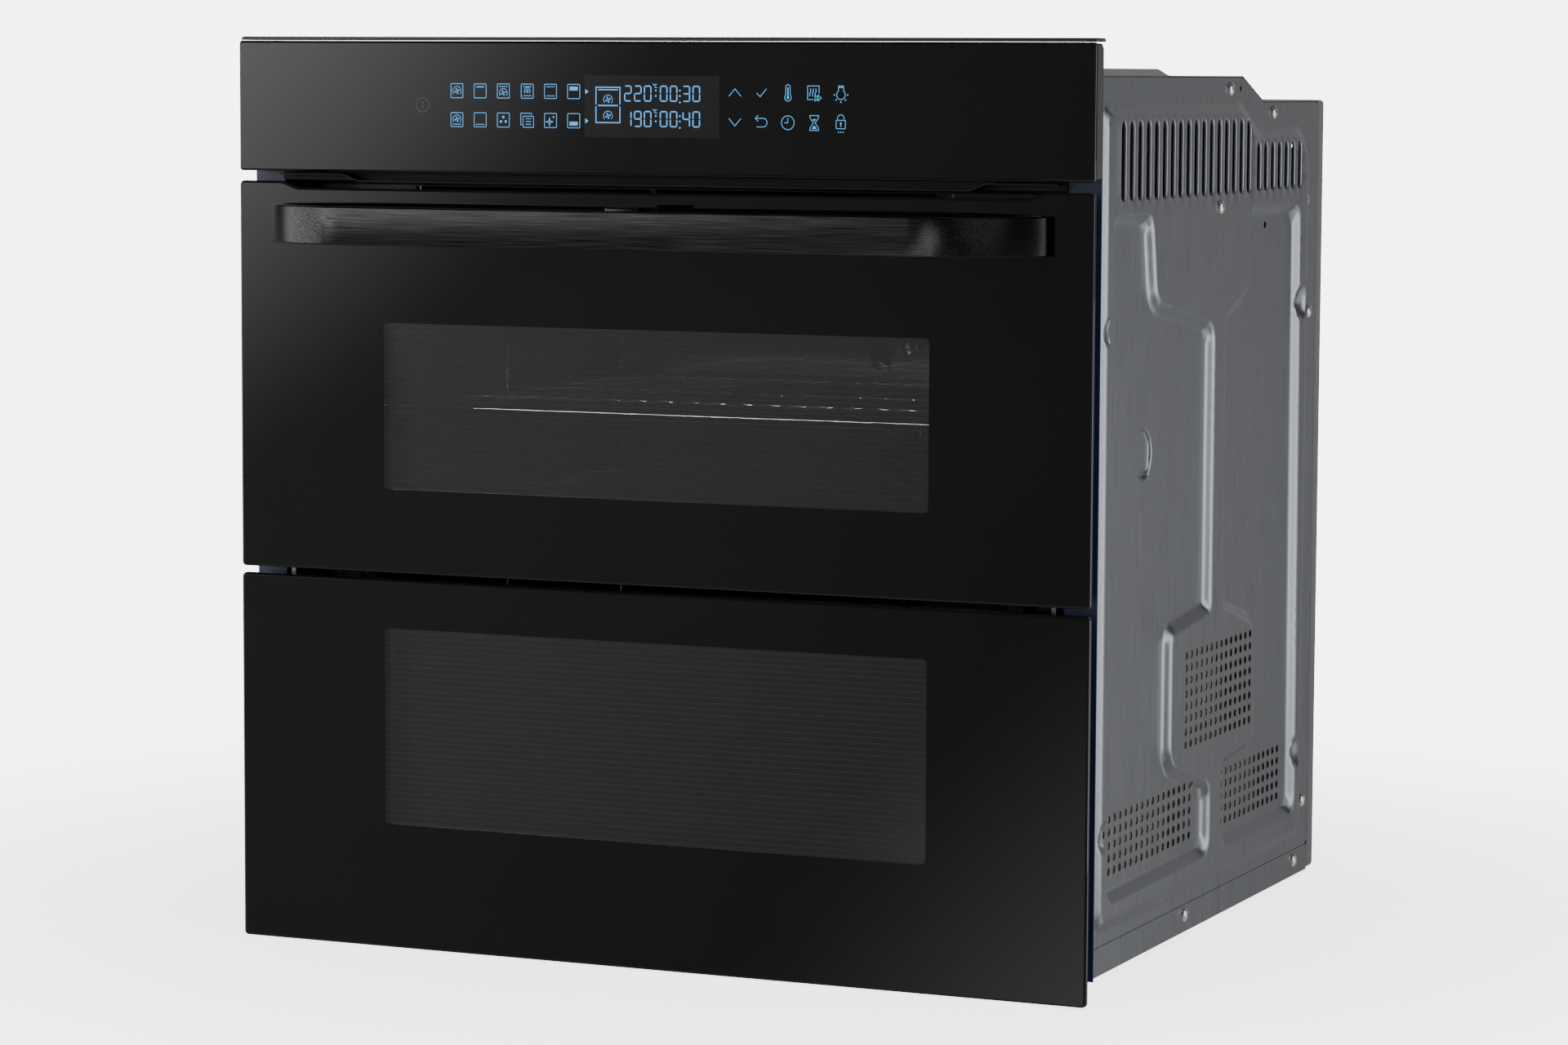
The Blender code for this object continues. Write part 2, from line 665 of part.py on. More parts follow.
def blower(steel, dark, oven, spin):
    """A drum wheel in a scroll that opens forwards into the duct, and its motor."""
    y, z = BLOWER_AXIS
    count = 15
    outer, inner = [], []
    for k in range(count):
        turn = math.radians(-150 + 300 * k / (count - 1))
        radius = (31 + 10 * k / (count - 1)) * MM
        for edge, extra in ((inner, 0), (outer, SHEET)):
            edge.append((y + (radius + extra) * math.cos(turn), z + (radius + extra) * math.sin(turn)))
    scroll = prism(outer + inner[::-1], "X", -BLOWER_HALF - 5 * MM, BLOWER_HALF + 5 * MM)
    body("blower_housing", scroll, steel, oven)
    outline = blade_outline(BLOWER_AXIS, 21 * MM, BLOWER_RADIUS, 14, 0.08)
    wheel = body("blower_wheel", prism(outline, "X", -BLOWER_HALF, BLOWER_HALF), dark, spin)
    cut(wheel, rod(BLOWER_AXIS, SHAFT_RADIUS, "X", -BLOWER_HALF - 8 * MM, BLOWER_HALF + 30 * MM), "UNION")
    profile = [(4.5 * MM, 108 * MM), (24 * MM, 108 * MM), (24 * MM, 145 * MM), (4.5 * MM, 145 * MM)]
    motor = turned(profile, BLOWER_AXIS, "X", closed=True)
    body("blower_motor", motor, steel, oven, smooth=True)


def electrics(board, dark, oven):
    """The power board in the top bay and the terminal block at the back."""
    plate = body("power_board", box((-230 * MM, 80 * MM, 465 * MM), (-120 * MM, 200 * MM, 467 * MM)),
                 board, oven)
    parts = bmesh.new()
    for x, y, size in ((-210, 100, 22), (-170, 110, 28), (-205, 150, 30), (-155, 165, 18)):
        low = (x * MM, y * MM, 466 * MM)
        box(low, ((x + size) * MM, (y + size) * MM, (467 + size * 0.8) * MM), parts)
    cut(plate, parts, "UNION")
    block = box((140 * MM, 200 * MM, 490 * MM), (200 * MM, 235 * MM, 515 * MM))
    body("terminal_block", block, dark, oven)


# ---------------------------------------------------------------- control panel
def pane(name, outline, front, finish, parent, thick=GLASS):
    """A flat pane from an (x, z) outline, its face towards -Y."""
    return body(name, prism(outline, "Y", front, front + thick), finish, parent)


def control_panel(glass, dark, board, oven):
    edge = rounded(-FRONT_HALF, FRONT_HALF, PANEL_BOTTOM, PANEL_TOP, 2 * MM, 2)
    pane("control_glass", edge, FRONT_Y, glass, oven)
    cap = rounded(-FRONT_HALF, FRONT_HALF, FRONT_Y, CAP_BACK, 6 * MM)
    body("panel_cap", prism(cap, "Z", PANEL_TOP + GAP, CAP_TOP), dark, oven)
    front, rear = GLASS_BACK + GAP, CASE_FRONT - SHEET - GAP
    half, low, high, wall = FRAME_HALF, PANEL_BOTTOM + 1 * MM, PANEL_TOP - 0.5 * MM, 2 * MM
    loops = [rim(half, low, high, front, 2 * MM), rim(half, low, high, rear, 2 * MM),
             rim(half - wall, low + wall, high - wall, rear, 2 * MM),
             rim(half - wall, low + wall, high - wall, front + wall, 2 * MM)]
    body("panel_housing", loft(loops), dark, oven)
    body("touch_board", box((-170 * MM, -277.4 * MM, 530 * MM), (140 * MM, -275.8 * MM, 574 * MM)),
         board, oven)
    body("display_module", box((-48 * MM, -275.5 * MM, 527 * MM), (50 * MM, -268 * MM, 570 * MM)),
         dark, oven)


# ---------------------------------------------------------------- doors
def door_frame(name, low, high, steel, parent):
    """A channel of sheet round the door: one lip behind the glass, one round the inner pane."""
    corner = 3 * MM
    front, rear = GLASS_BACK + GAP, BODY_BACK
    wide, narrow = 8 * MM, 13 * MM
    steps = [(0, front), (0, rear), (narrow, rear), (narrow, rear - SHEET), (SHEET, rear - SHEET),
             (SHEET, front + SHEET), (wide, front + SHEET), (wide, front)]
    loops = [rim(BODY_HALF - inset, low + inset, high - inset, y, corner) for inset, y in steps]
    return body(name, loft(loops, closed=True), steel, parent)


def pin_holes(frame, axis, radius):
    """Bore both side walls of a door's frame for its pins."""
    holes = bmesh.new()
    for side in SIDES.values():
        reach = sorted((side * 260 * MM, side * 270 * MM))
        rod(axis, radius + GAP, "X", *reach, bm=holes)
    cut(frame, holes)


def inner_panes(prefix, low, high, glass, parent):
    """The middle and the inner pane, held inside the channel."""
    half = BODY_HALF - SHEET - 0.4 * MM
    inset = SHEET + 0.4 * MM
    back = BODY_BACK - SHEET - GAP
    edge = rounded(-half, half, low + inset, high - inset, 3 * MM, 2)
    pane(prefix + "_inner_glass", edge, back - GLASS, glass, parent)
    half -= 14 * MM
    edge = rounded(-half, half, low + inset + 9 * MM, high - inset - 2 * MM, 3 * MM, 2)
    pane(prefix + "_middle_glass", edge, -268 * MM, glass, parent)


def lower_door(black, clear, steel, hinge):
    edge = rounded(-FRONT_HALF, FRONT_HALF, DOOR_BOTTOM, LOWER_GLASS_TOP, 3 * MM, 3)
    pane("lower_door_glass", edge, FRONT_Y, black, hinge)
    frame = door_frame("lower_door_frame", *LOWER_BODY, steel, hinge)
    pin_holes(frame, LOWER_AXIS, 4 * MM)
    inner_panes("lower", *LOWER_BODY, clear, hinge)
    for name, side in SIDES.items():
        reach = sorted((side * 262 * MM, side * 271.5 * MM))
        body("main_hinge_pin_" + name, rod(LOWER_AXIS, 4 * MM, "X", *reach), steel, hinge, smooth=True)
        mid_hinge(name, side, steel, hinge)


def mid_hinge(name, side, steel, hinge):
    """A crooked bracket that stands up from the main door and the pin of the upper door in it."""
    y, z = UPPER_AXIS
    radius, behind, rear = 4.8 * MM, y + 7.5 * MM, y + 18 * MM
    ends = [(behind, z - radius), (behind, 190 * MM), (rear, 190 * MM), (rear, z), (behind, z + radius)]
    outline = eye_plate(UPPER_AXIS, radius, {"from": 90, "to": 270, "ends": ends})
    reach = sorted((side * BRACKET[0], side * BRACKET[1]))
    bracket = body("mid_hinge_bracket_" + name, prism(outline, "X", *reach), steel, hinge)
    cut(bracket, rod(UPPER_AXIS, MID_PIN + GAP, "X", -0.3, 0.3))
    reach = sorted((side * 262 * MM, side * 270.5 * MM))
    body("mid_hinge_pin_" + name, rod(UPPER_AXIS, MID_PIN, "X", *reach), steel, hinge, smooth=True)


def eared_outline():
    """The upper pane: its top edge dips between two ears, along an S-shaped ramp."""
    steps = 6
    ramp = []
    for k in range(steps + 1):
        share = k / steps
        rise = (1 - math.cos(math.pi * share)) / 2
        x = EAR_FOOT + (EAR_HEAD - EAR_FOOT) * share
        ramp.append((x, UPPER_GLASS_TOP + (EAR_TOP - UPPER_GLASS_TOP) * rise))
    corner = 3 * MM
    half, low = FRONT_HALF, UPPER_GLASS_BOTTOM
    right = [(half - corner, EAR_TOP), (half, EAR_TOP - corner), (half, low + corner),
             (half - corner, low)]
    left = [(-x, z) for x, z in reversed(right)]
    return ramp + right + left + [(-x, z) for x, z in reversed(ramp)]


def handle_bar(steel, hinge):
    """A flat bar bowed off the glass: straight in the middle, a round bend down to each foot."""
    bend = math.acos(1 - HANDLE_STANDOFF / HANDLE_BEND)
    centre_x = HANDLE_HALF - HANDLE_BEND * math.sin(bend)
    centre_y = FRONT_Y - HANDLE_STANDOFF + HANDLE_BEND
    face = FRONT_Y - GAP
    inner_radius = HANDLE_BEND - HANDLE_THICK
    foot = math.acos((centre_y - face + HANDLE_HEEL) / inner_radius)
    steps = 12
    pairs = [((HANDLE_HALF, face), (246 * MM, face))]
    for k in range(steps + 1):
        outer, inner = bend * (1 - (k + 1) / (steps + 1)), foot * (1 - k / steps)
        pairs.append(((centre_x + HANDLE_BEND * math.sin(outer), centre_y - HANDLE_BEND * math.cos(outer)),
                      (centre_x + inner_radius * math.sin(inner), centre_y - inner_radius * math.cos(inner))))
    pairs += [((-a, b), (-c, d)) for (a, b), (c, d) in reversed(pairs)]
    low, high = HANDLE_Z
    loops = [[(*near, low), (*near, high), (*far, high), (*far, low)] for near, far in pairs]
    bar = body("handle_bar", loft(loops), steel, hinge, smooth=True)
    holes = bmesh.new()
    for side in SIDES.values():
        centre = (side * HANDLE_SCREW_X, (low + high) / 2)
        rod(centre, 2.3 * MM, "Y", FRONT_Y - 3.5 * MM, FRONT_Y + 5 * MM, bm=holes)
    cut(bar, holes)
    return bar


def upper_door(black, clear, dark, steel, hinge, press):
    middle = sum(HANDLE_Z) / 2
    glass = pane("upper_door_glass", eared_outline(), FRONT_Y, black, hinge)
    frame = door_frame("upper_door_frame", *UPPER_BODY, steel, hinge)
    pin_holes(frame, UPPER_AXIS, MID_PIN)
    holes = bmesh.new()
    for side in SIDES.values():
        rod((side * HANDLE_SCREW_X, middle), 2.3 * MM, "Y", FRONT_Y - 1 * MM,
            GLASS_BACK + 4 * MM, bm=holes)
    cut(glass, holes)
    inner_panes("upper", *UPPER_BODY, clear, hinge)
    handle_bar(dark, hinge)
    for name, side in SIDES.items():
        seat = GLASS_BACK + GAP
        profile = [(2 * MM, FRONT_Y - 3 * MM), (2 * MM, seat), (4.5 * MM, seat), (4.5 * MM, seat + 3 * MM)]
        screw = turned(profile, (side * HANDLE_SCREW_X, middle), "Y", steps=14)
        body("handle_screw_" + name, screw, steel, hinge, smooth=True)
    inner_face = FRONT_Y - HANDLE_STANDOFF + HANDLE_THICK + GAP
    tab = rounded(-12 * MM, 12 * MM, inner_face, inner_face + 12 * MM, 3 * MM, 2)
    body("release_lever", prism(tab, "Z", 478 * MM, 485.7 * MM), dark, press)


# ---------------------------------------------------------------- the oven
def build():
    clear_scene()
    galvanised = material("galvanised_steel", (0.36, 0.38, 0.40), 0.42, 0.9)
    bright = material("bright_steel", (0.62, 0.62, 0.63), 0.3, 1.0)
    chrome = material("chromed_wire", (0.75, 0.75, 0.76), 0.15, 1.0)
    navy = material("navy_enamel", (0.02, 0.03, 0.08), 0.3, 0.1)
    cavity = material("cavity_enamel", (0.05, 0.055, 0.07), 0.25, 0.1)
    wool = material("mineral_wool", (0.7, 0.66, 0.5), 0.95, 0.0)
    black = material("black_glass", (0.012, 0.012, 0.014), 0.05, 0.0)
    clear = material("clear_glass", (0.75, 0.8, 0.8), 0.04, 0.0)
    dark = material("black_plastic", (0.02, 0.02, 0.022), 0.4, 0.0)
    brushed = material("black_brushed_steel", (0.13, 0.13, 0.14), 0.35, 0.9)
    rubber = material("silicone", (0.03, 0.03, 0.03), 0.7, 0.0)
    board = material("circuit_board", (0.03, 0.16, 0.07), 0.5, 0.0)

    oven = empty("oven", (0, 0, 0))
    main_hinge = empty("main_hinge_axis", (0, *LOWER_AXIS), oven)
    upper_hinge = empty("upper_hinge_axis", (0, *UPPER_AXIS), main_hinge)
    press = empty("release_slide", (0, FRONT_Y - HANDLE_STANDOFF + HANDLE_THICK, 478 * MM), upper_hinge)
    blower_spin = empty("blower_axis", (0, *BLOWER_AXIS), oven)

    base_tray(galvanised, oven)
    top_cover(galvanised, oven)
    back_panel(galvanised, oven)
    front_frame(navy, oven)
    for name, side in SIDES.items():
        side_panel("side_panel_" + name, side, galvanised, oven)
        hinge_receiver("hinge_receiver_" + name, side, galvanised, oven)
        hinge_hook("hinge_hook_" + name, side, bright, oven)
        side_rack("side_rack_" + name, side, chrome, oven)

    cavity_liner(cavity, oven)
    insulation(wool, oven)
    door_gasket(rubber, oven)
    divider_plate(cavity, oven)
    fan_baffle(cavity, oven)
    for name, z in FANS.items():
        ring_heater("ring_heater_" + name, z, bright, oven)
        fan_motor("fan_motor_" + name, z, bright, oven)
        fan_wheel("fan_wheel_" + name, z, bright, empty(name + "_fan_axis", (0, 176 * MM, z), oven))
    grill_element(bright, oven)
    bottom_element(bright, oven)
    wire_rack(chrome, oven)
    lamp(clear, bright, oven)
    probe(bright, oven)

    air_duct(galvanised, oven)
    blower(galvanised, dark, oven, blower_spin)
    electrics(board, dark, oven)
    control_panel(black, dark, board, oven)
    lower_door(black, clear, galvanised, main_hinge)
    upper_door(black, clear, brushed, galvanised, upper_hinge, press)


build()
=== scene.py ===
# %% [markdown]
# # A built-in double oven, piece by piece
# The solid model fixes where everything is. This script gives each part its real surface: bevelled black
# glass, pressed and brushed sheet steel, round chromed wire, enamel, and the lit symbols of the panel.
# Lengths are in millimetres until a mesh is written, x to the right, y to the back, z up.

# %% The fixed model
import math

import bpy
import numpy as np
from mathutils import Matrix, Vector
from mathutils.geometry import delaunay_2d_cdt


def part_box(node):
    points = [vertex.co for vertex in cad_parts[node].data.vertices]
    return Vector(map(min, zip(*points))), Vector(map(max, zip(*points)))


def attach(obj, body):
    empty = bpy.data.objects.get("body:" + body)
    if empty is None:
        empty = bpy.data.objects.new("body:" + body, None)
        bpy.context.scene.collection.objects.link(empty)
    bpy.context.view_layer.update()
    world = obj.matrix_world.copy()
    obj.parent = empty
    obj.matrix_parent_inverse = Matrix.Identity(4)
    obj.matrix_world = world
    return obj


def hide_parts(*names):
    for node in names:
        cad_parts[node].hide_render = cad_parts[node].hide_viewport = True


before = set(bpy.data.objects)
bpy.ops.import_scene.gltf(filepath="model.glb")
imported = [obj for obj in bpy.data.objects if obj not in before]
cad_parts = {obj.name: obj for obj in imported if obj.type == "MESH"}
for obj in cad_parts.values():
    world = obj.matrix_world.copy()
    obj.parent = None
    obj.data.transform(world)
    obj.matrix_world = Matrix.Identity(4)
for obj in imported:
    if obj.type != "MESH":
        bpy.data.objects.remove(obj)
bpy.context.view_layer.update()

# %% [markdown]
# ## Tools for surfaces
# Every piece below is an array of points and an array of faces. A ring of points carried along a path
# gives tubes and bars; a flat outline cut into triangles gives panes and sheets.

# %% Outlines
MM = 0.001


def box_mm(node):
    """Low and high corner of a node of the solid model, in millimetres."""
    low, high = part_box(node)
    return np.array(low) / MM, np.array(high) / MM


def unit(vectors):
    """The same directions with length 1."""
    return vectors / np.maximum(np.linalg.norm(vectors, axis=1, keepdims=True), 1e-9)


def corner_arcs(corner, before, after, radius, longest=np.inf, steps=6):
    """Arcs that round corners with unit arms a (before) and b (after) and the angle t between them.

    An arc's centre lies at r / sin(t / 2) along the bisector, and it touches the arms at
    r / tan(t / 2), or at the longest reach allowed. From the centre its points are
    (sin((1 - s) w) p + sin(s w) q) / sin(w), with p and q its ends and w the angle it sweeps.
    """
    half = np.arccos(np.clip((before * after).sum(1, keepdims=True), -0.999999, 0.999999)) / 2
    reach = np.minimum(radius / np.tan(half), longest)
    centre = corner + unit(before + after) * reach * np.tan(half) / np.sin(half)
    start, end = corner + before * reach - centre, corner + after * reach - centre
    share = np.linspace(0, 1, steps + 1)[None, :, None]
    sweep = (math.pi - 2 * half)[:, None]
    blend = np.sin((1 - share) * sweep) * start[:, None] + np.sin(share * sweep) * end[:, None]
    return (centre[:, None] + blend / np.sin(sweep)).reshape(-1, corner.shape[1])


def rounded_outline(corners, radii, steps=6):
    """A closed polygon with each corner rounded to an arc."""
    corner = np.asarray(corners, float)
    radius = np.broadcast_to(np.asarray(radii, float), len(corner))[:, None]
    before, after = np.roll(corner, 1, 0) - corner, np.roll(corner, -1, 0) - corner
    return corner_arcs(corner, unit(before), unit(after), radius, steps=steps)


def bent_path(corners, radius, steps=6):
    """An open polyline through 3-D corners with each bend rounded to an arc."""
    corner = np.asarray(corners, float)
    arms = corner[:-2] - corner[1:-1], corner[2:] - corner[1:-1]
    shorter = np.min([np.linalg.norm(arm, axis=1, keepdims=True) for arm in arms], axis=0)
    bends = corner_arcs(corner[1:-1], unit(arms[0]), unit(arms[1]), radius, shorter * 0.49, steps)
    return np.vstack([corner[:1], bends, corner[-1:]])


def rectangle(low_u, high_u, low_v, high_v, radius, steps=6):
    corners = [(low_u, low_v), (high_u, low_v), (high_u, high_v), (low_u, high_v)]
    return rounded_outline(corners, radius, steps)


def arc(centre, radius, start, end, count=16):
    """Points at centre + radius (cos t, sin t), with t from start to end in degrees."""
    turn = np.radians(np.linspace(start, end, count))
    return np.column_stack([centre[0] + radius * np.cos(turn), centre[1] + radius * np.sin(turn)])


def circle(centre, radius, count=24):
    return arc(centre, radius, 0, 360, count + 1)[:-1]


def even_outline(outline, spacing):
    """The same closed outline with points at even steps along its length."""
    closed = np.vstack([outline, outline[:1]])
    along = np.concatenate([[0], np.cumsum(np.linalg.norm(np.diff(closed, axis=0), axis=1))])
    places = np.linspace(0, along[-1], max(8, round(along[-1] / spacing)), endpoint=False)
    return np.column_stack([np.interp(places, along, closed[:, k]) for k in (0, 1)])


def outward(outline):
    """Unit normals of a closed anticlockwise outline, pointing out of it."""
    run = np.roll(outline, -1, 0) - np.roll(outline, 1, 0)
    return unit(np.column_stack([run[:, 1], -run[:, 0]]))


def depth_outside(points, outline, block=4000):
    """Signed distance of points to a closed outline: negative within it.

    The distance is the least over the outline's segments, and the sign comes from how many of
    them a ray along +u crosses.
    """
    start, run = outline, np.roll(outline, -1, 0) - outline
    square = np.maximum((run ** 2).sum(1), 1e-12)
    rise = np.where(np.abs(run[:, 1]) < 1e-12, 1e-12, run[:, 1])
    parts = [np.zeros(0)]
    for first in range(0, len(points), block):
        some = points[first:first + block]
        arm = some[:, None] - start[None]
        share = np.clip((arm * run).sum(2) / square, 0, 1)
        gap = np.linalg.norm(arm - share[..., None] * run, axis=2).min(1)
        crosses = (start[:, 1] > some[:, None, 1]) != ((start + run)[:, 1] > some[:, None, 1])
        crossing = start[:, 0] + (some[:, None, 1] - start[:, 1]) * run[:, 0] / rise
        inside = (crosses & (some[:, None, 0] < crossing)).sum(1) % 2 == 1
        parts.append(np.where(inside, -gap, gap))
    return np.concatenate(parts)


def upright(outline, y):
    """A flat outline (u, v) stood up as the points (u, y, v)."""
    return np.column_stack([outline[:, 0], np.full(len(outline), y), outline[:, 1]])


def level(outline, z):
    """A flat outline (u, v) laid down as the points (u, v, z)."""
    return np.column_stack([outline, np.full(len(outline), z)])


# %% Meshes
def piece(name, points, faces, finish, body, slot, nodes=(), angle=35):
    """Write a mesh from millimetre points and a list of face arrays, and tie it to its body."""
    mesh = bpy.data.meshes.new(name)
    rows = [row for block in faces for row in np.asarray(block).tolist()]
    mesh.from_pydata((np.asarray(points, float) * MM).tolist(), [], rows)
    mesh.validate()
    mesh.shade_smooth()
    mesh.set_sharp_from_angle(angle=math.radians(angle))
    mesh.materials.append(finish)
    made = bpy.data.objects.new(name, mesh)
    bpy.context.scene.collection.objects.link(made)
    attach(made, body)
    if nodes:
        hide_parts(*nodes)
    print(f"{name}: {len(mesh.polygons)} faces")
    return made


class Shape:
    """Collects the points and faces of a piece that has several closed parts."""

    def __init__(self):
        self.points, self.faces, self.count = [], [], 0

    def add(self, points, faces):
        self.points.append(np.asarray(points, float))
        self.faces += [np.asarray(block) + self.count for block in faces]
        self.count += len(points)

    def write(self, name, *rest, **more):
        return piece(name, np.vstack(self.points), self.faces, *rest, **more)


def skin(rings, closed=False):
    """Quads over an (m, n, 3) stack of rings, capped at both ends unless the stack closes on itself."""
    rings = np.asarray(rings, float)
    count, around = rings.shape[:2]
    index = np.arange(count * around).reshape(count, around)
    near, far = (index, np.roll(index, -1, 0)) if closed else (index[:-1], index[1:])
    quads = np.stack([near, np.roll(near, -1, 1), np.roll(far, -1, 1), far], -1).reshape(-1, 4)
    ends = [] if closed else [index[0][::-1][None], index[-1][None]]
    return rings.reshape(-1, 3), [quads] + ends


def stacked(outline, levels):
    """A solid of level outlines: at each (inset, height) the outline is carried in along its normals."""
    return skin([level(outline - outward(outline) * inset, z) for inset, z in levels])


def tube(path, radius, flat_normal, sides=12, closed=False):
    """A round bar along a path that lies in a plane with the given normal.

    A ring's points are p + r (cos t n + sin t b), with n the plane's normal and b its cross
    product with the path's direction.
    """
    path = np.asarray(path, float)
    run = unit(np.roll(path, -1, 0) - np.roll(path, 1, 0) if closed else np.gradient(path, axis=0))
    normal = np.broadcast_to(np.asarray(flat_normal, float), run.shape)
    side = np.cross(run, normal)
    turn = np.linspace(0, 2 * math.pi, sides, endpoint=False)[None, :, None]
    rings = path[:, None] + radius * (np.cos(turn) * normal[:, None] + np.sin(turn) * side[:, None])
    return skin(rings, closed)


def rod(start, end, radius, flat_normal, sides=12):
    """A straight round bar between two points."""
    return tube(np.linspace(start, end, 4), radius, flat_normal, sides)


def turned(profile, centre, steps=24):
    """A profile of (radius, x) turned about a line along x through (y, z), its faces outwards."""
    profile = np.asarray(profile, float)
    rings = [np.insert(circle(centre, radius, steps), 0, x, axis=1) for radius, x in profile]
    points, faces = skin(rings)
    return points, [block[:, ::-1] for block in faces]


def triangles(outline, holes=(), extra=None):
    """Cut a flat outline with holes into triangles, through any extra points.

    The edges are kept by a constrained Delaunay triangulation, and triangles within a hole are dropped.
    """
    loops = [np.asarray(outline)] + [np.asarray(hole) for hole in holes]
    starts = np.cumsum([0] + [len(loop) for loop in loops])
    points = np.vstack(loops if extra is None else loops + [extra])
    rings = [list(range(a, b)) for a, b in zip(starts, starts[1:])]
    found = delaunay_2d_cdt([tuple(p) for p in points.tolist()], [], rings, 0, 1e-6)
    made, faces, origins = np.array(found[0]), found[2], found[5]
    kept = [face for face, origin in zip(faces, origins) if list(origin) == [0]]
    return np.array([tuple(p) for p in made]), np.array(kept)


def rim_of(faces):
    """The directed edges that only one triangle uses."""
    edges = np.vstack([faces[:, [0, 1]], faces[:, [1, 2]], faces[:, [2, 0]]])
    top = int(edges.max()) + 1
    forward, reverse = edges[:, 0] * top + edges[:, 1], edges[:, 1] * top + edges[:, 0]
    return edges[~np.isin(forward, reverse)]


def sided(side, points, faces):
    """A piece as it is for side 1, or reflected in x = 0 with its faces turned for side -1."""
    if side > 0:
        return points, faces
    return points * [-1, 1, 1], [np.asarray(block)[:, ::-1] for block in faces]


# %% [markdown]
# ## Pressed sheet
# The case is thin steel pressed in a die. A pressing is a height over a flat outline: each die feature
# raises or lowers the sheet by a ramp across its slope. Points follow the edges of the features closely,
# so that the slopes are crisp, and stand far apart where the sheet is flat.

# %% Sheet from height
SPACING, EDGE_SPACING = 4.0, 6.0  # of points along a feature's foot and along the sheet's edge
FOLLOWED = (-0.15, 0.0, 0.2, 0.4, 0.6, 0.8, 1.0, 1.2)  # shares of a slope at which rows of points run
CURL_FOLLOWED = (0.1, 0.3, 0.6, 1.0)  # shares of a curled edge
FLAT_MARGIN, CELL, HOLE_MARGIN, HOLE_GAP = 1.0, 0.35, 0.3, 0.12  # least distances between points


def feature(outline, height, slope, bulges=()):
    """One die feature: its outline is the foot of the slope, and the sheet is moved by height inside it."""
    return {"outlines": [even_outline(outline, SPACING), *bulges], "height": height, "slope": slope}


def smooth_step(share):
    """3 s^2 - 2 s^3 between 0 and 1."""
    share = np.clip(share, 0, 1)
    return share * share * (3 - 2 * share)


def flank(share, rounding=0.22):
    """A straight ramp from 0 to 1 whose two ends are parabolas over a share of its length."""
    share = np.clip(share, 0, 1)
    near = np.minimum(share, 1 - share)
    rise = np.where(near < rounding, near ** 2 / (2 * rounding), near - rounding / 2) / (1 - rounding)
    return np.where(share < 0.5, rise, 1 - rise)


def near_to(points, outline, margin):
    """Which points lie within the outline's box, widened by a margin."""
    return (np.abs(points - outline.mean(0)) < np.ptp(outline, axis=0) / 2 + margin).all(1)


def sheet_height(points, features, slots, curl):
    """Sum of the features' ramps, less a quarter round of radius curl round each slot."""
    height = np.zeros(len(points))
    for one in features:
        depth = np.min([depth_outside(points, outline) for outline in one["outlines"]], axis=0)
        height += one["height"] * flank(-depth / one["slope"])
    gap = np.full(len(points), 1e9)
    for slot in slots:
        near = near_to(points, slot, curl + 1)
        gap[near] = np.minimum(gap[near], np.abs(depth_outside(points[near], slot)))
    inward = np.clip(curl - gap, 0, curl)
    return height - curl + np.sqrt(np.maximum(curl ** 2 - inward ** 2, 0))


def pressed_sheet(outline, features, slots, holes, place, thick, pitch=12.0, curl=0.0):
    """A sheet of even thickness over an outline, with slots whose edges curl in, and plain holes.

    place(u, v, h) gives the point at height h over (u, v) of the flat blank.
    """
    outline = even_outline(outline, EDGE_SPACING)
    lines = []
    for one in features:
        for ring in one["outlines"]:
            for share in FOLLOWED:
                inset = one["slope"] * share
                offset = ring - outward(ring) * inset
                true = np.abs(np.abs(depth_outside(offset, ring)) - abs(inset)) < 0.05
                lines.append(offset[true])
    lines += [slot + outward(slot) * curl * share for slot in slots for share in CURL_FOLLOWED]
    (low_u, low_v), (high_u, high_v) = outline.min(0) + pitch / 2, outline.max(0)
    grid = np.stack(np.meshgrid(np.arange(low_u, high_u, pitch), np.arange(low_v, high_v, pitch)), -1)
    extra = np.vstack(lines + [grid.reshape(-1, 2)])
    extra = extra[depth_outside(extra, outline) < -FLAT_MARGIN]
    cell = np.unique(np.floor(extra / CELL), axis=0, return_index=True)[1]
    extra = extra[np.sort(cell)]
    openings = list(slots) + list(holes)
    for hole in openings:
        clear = ~near_to(extra, hole, HOLE_MARGIN)
        clear[~clear] = depth_outside(extra[~clear], hole) > HOLE_GAP
        extra = extra[clear]
    flat, faces = triangles(outline, openings, extra)
    height = sheet_height(flat, features, slots, curl)
    front, back = (place(*flat.T, height - drop) for drop in (0, thick))
    rim, count = rim_of(faces), len(flat)
    walls = np.column_stack([rim[:, 1], rim[:, 0], rim[:, 0] + count, rim[:, 1] + count])
    return np.vstack([front, back]), [faces, faces[:, ::-1] + count, walls]


# %% [markdown]
# ## Finishes
# Each finish is built from noise read in the object's own coordinates, so it never slides when a door
# opens. Stretching the noise along one axis gives the lines that rolling or brushing leaves in metal.

# %% Material maker
def ramp(tree, source, stops):
    """A colour ramp fed by a 0 to 1 value."""
    node = tree.nodes.new("ShaderNodeValToRGB")
    band = node.color_ramp
    for element, (place, colour) in zip(band.elements, (stops[0], stops[-1])):
        element.position, element.color = place, (*colour, 1)
    for place, colour in stops[1:-1]:
        band.elements.new(place).color = (*colour, 1)
    tree.links.new(source, node.inputs["Fac"])
    return node.outputs["Color"]


def noise(tree, size, detail=4.0, stretch=(1, 1, 1)):
    """Noise with features of a size in metres, stretched along each axis by a factor."""
    where = tree.nodes.new("ShaderNodeTexCoord")
    scale = tree.nodes.new("ShaderNodeMapping")
    scale.inputs["Scale"].default_value = [1 / (size * factor) for factor in stretch]
    tree.links.new(where.outputs["Object"], scale.inputs["Vector"])
    made = tree.nodes.new("ShaderNodeTexNoise")
    made.inputs["Scale"].default_value = 1.0
    made.inputs["Detail"].default_value = detail
    tree.links.new(scale.outputs["Vector"], made.inputs["Vector"])
    return made.outputs["Fac"]


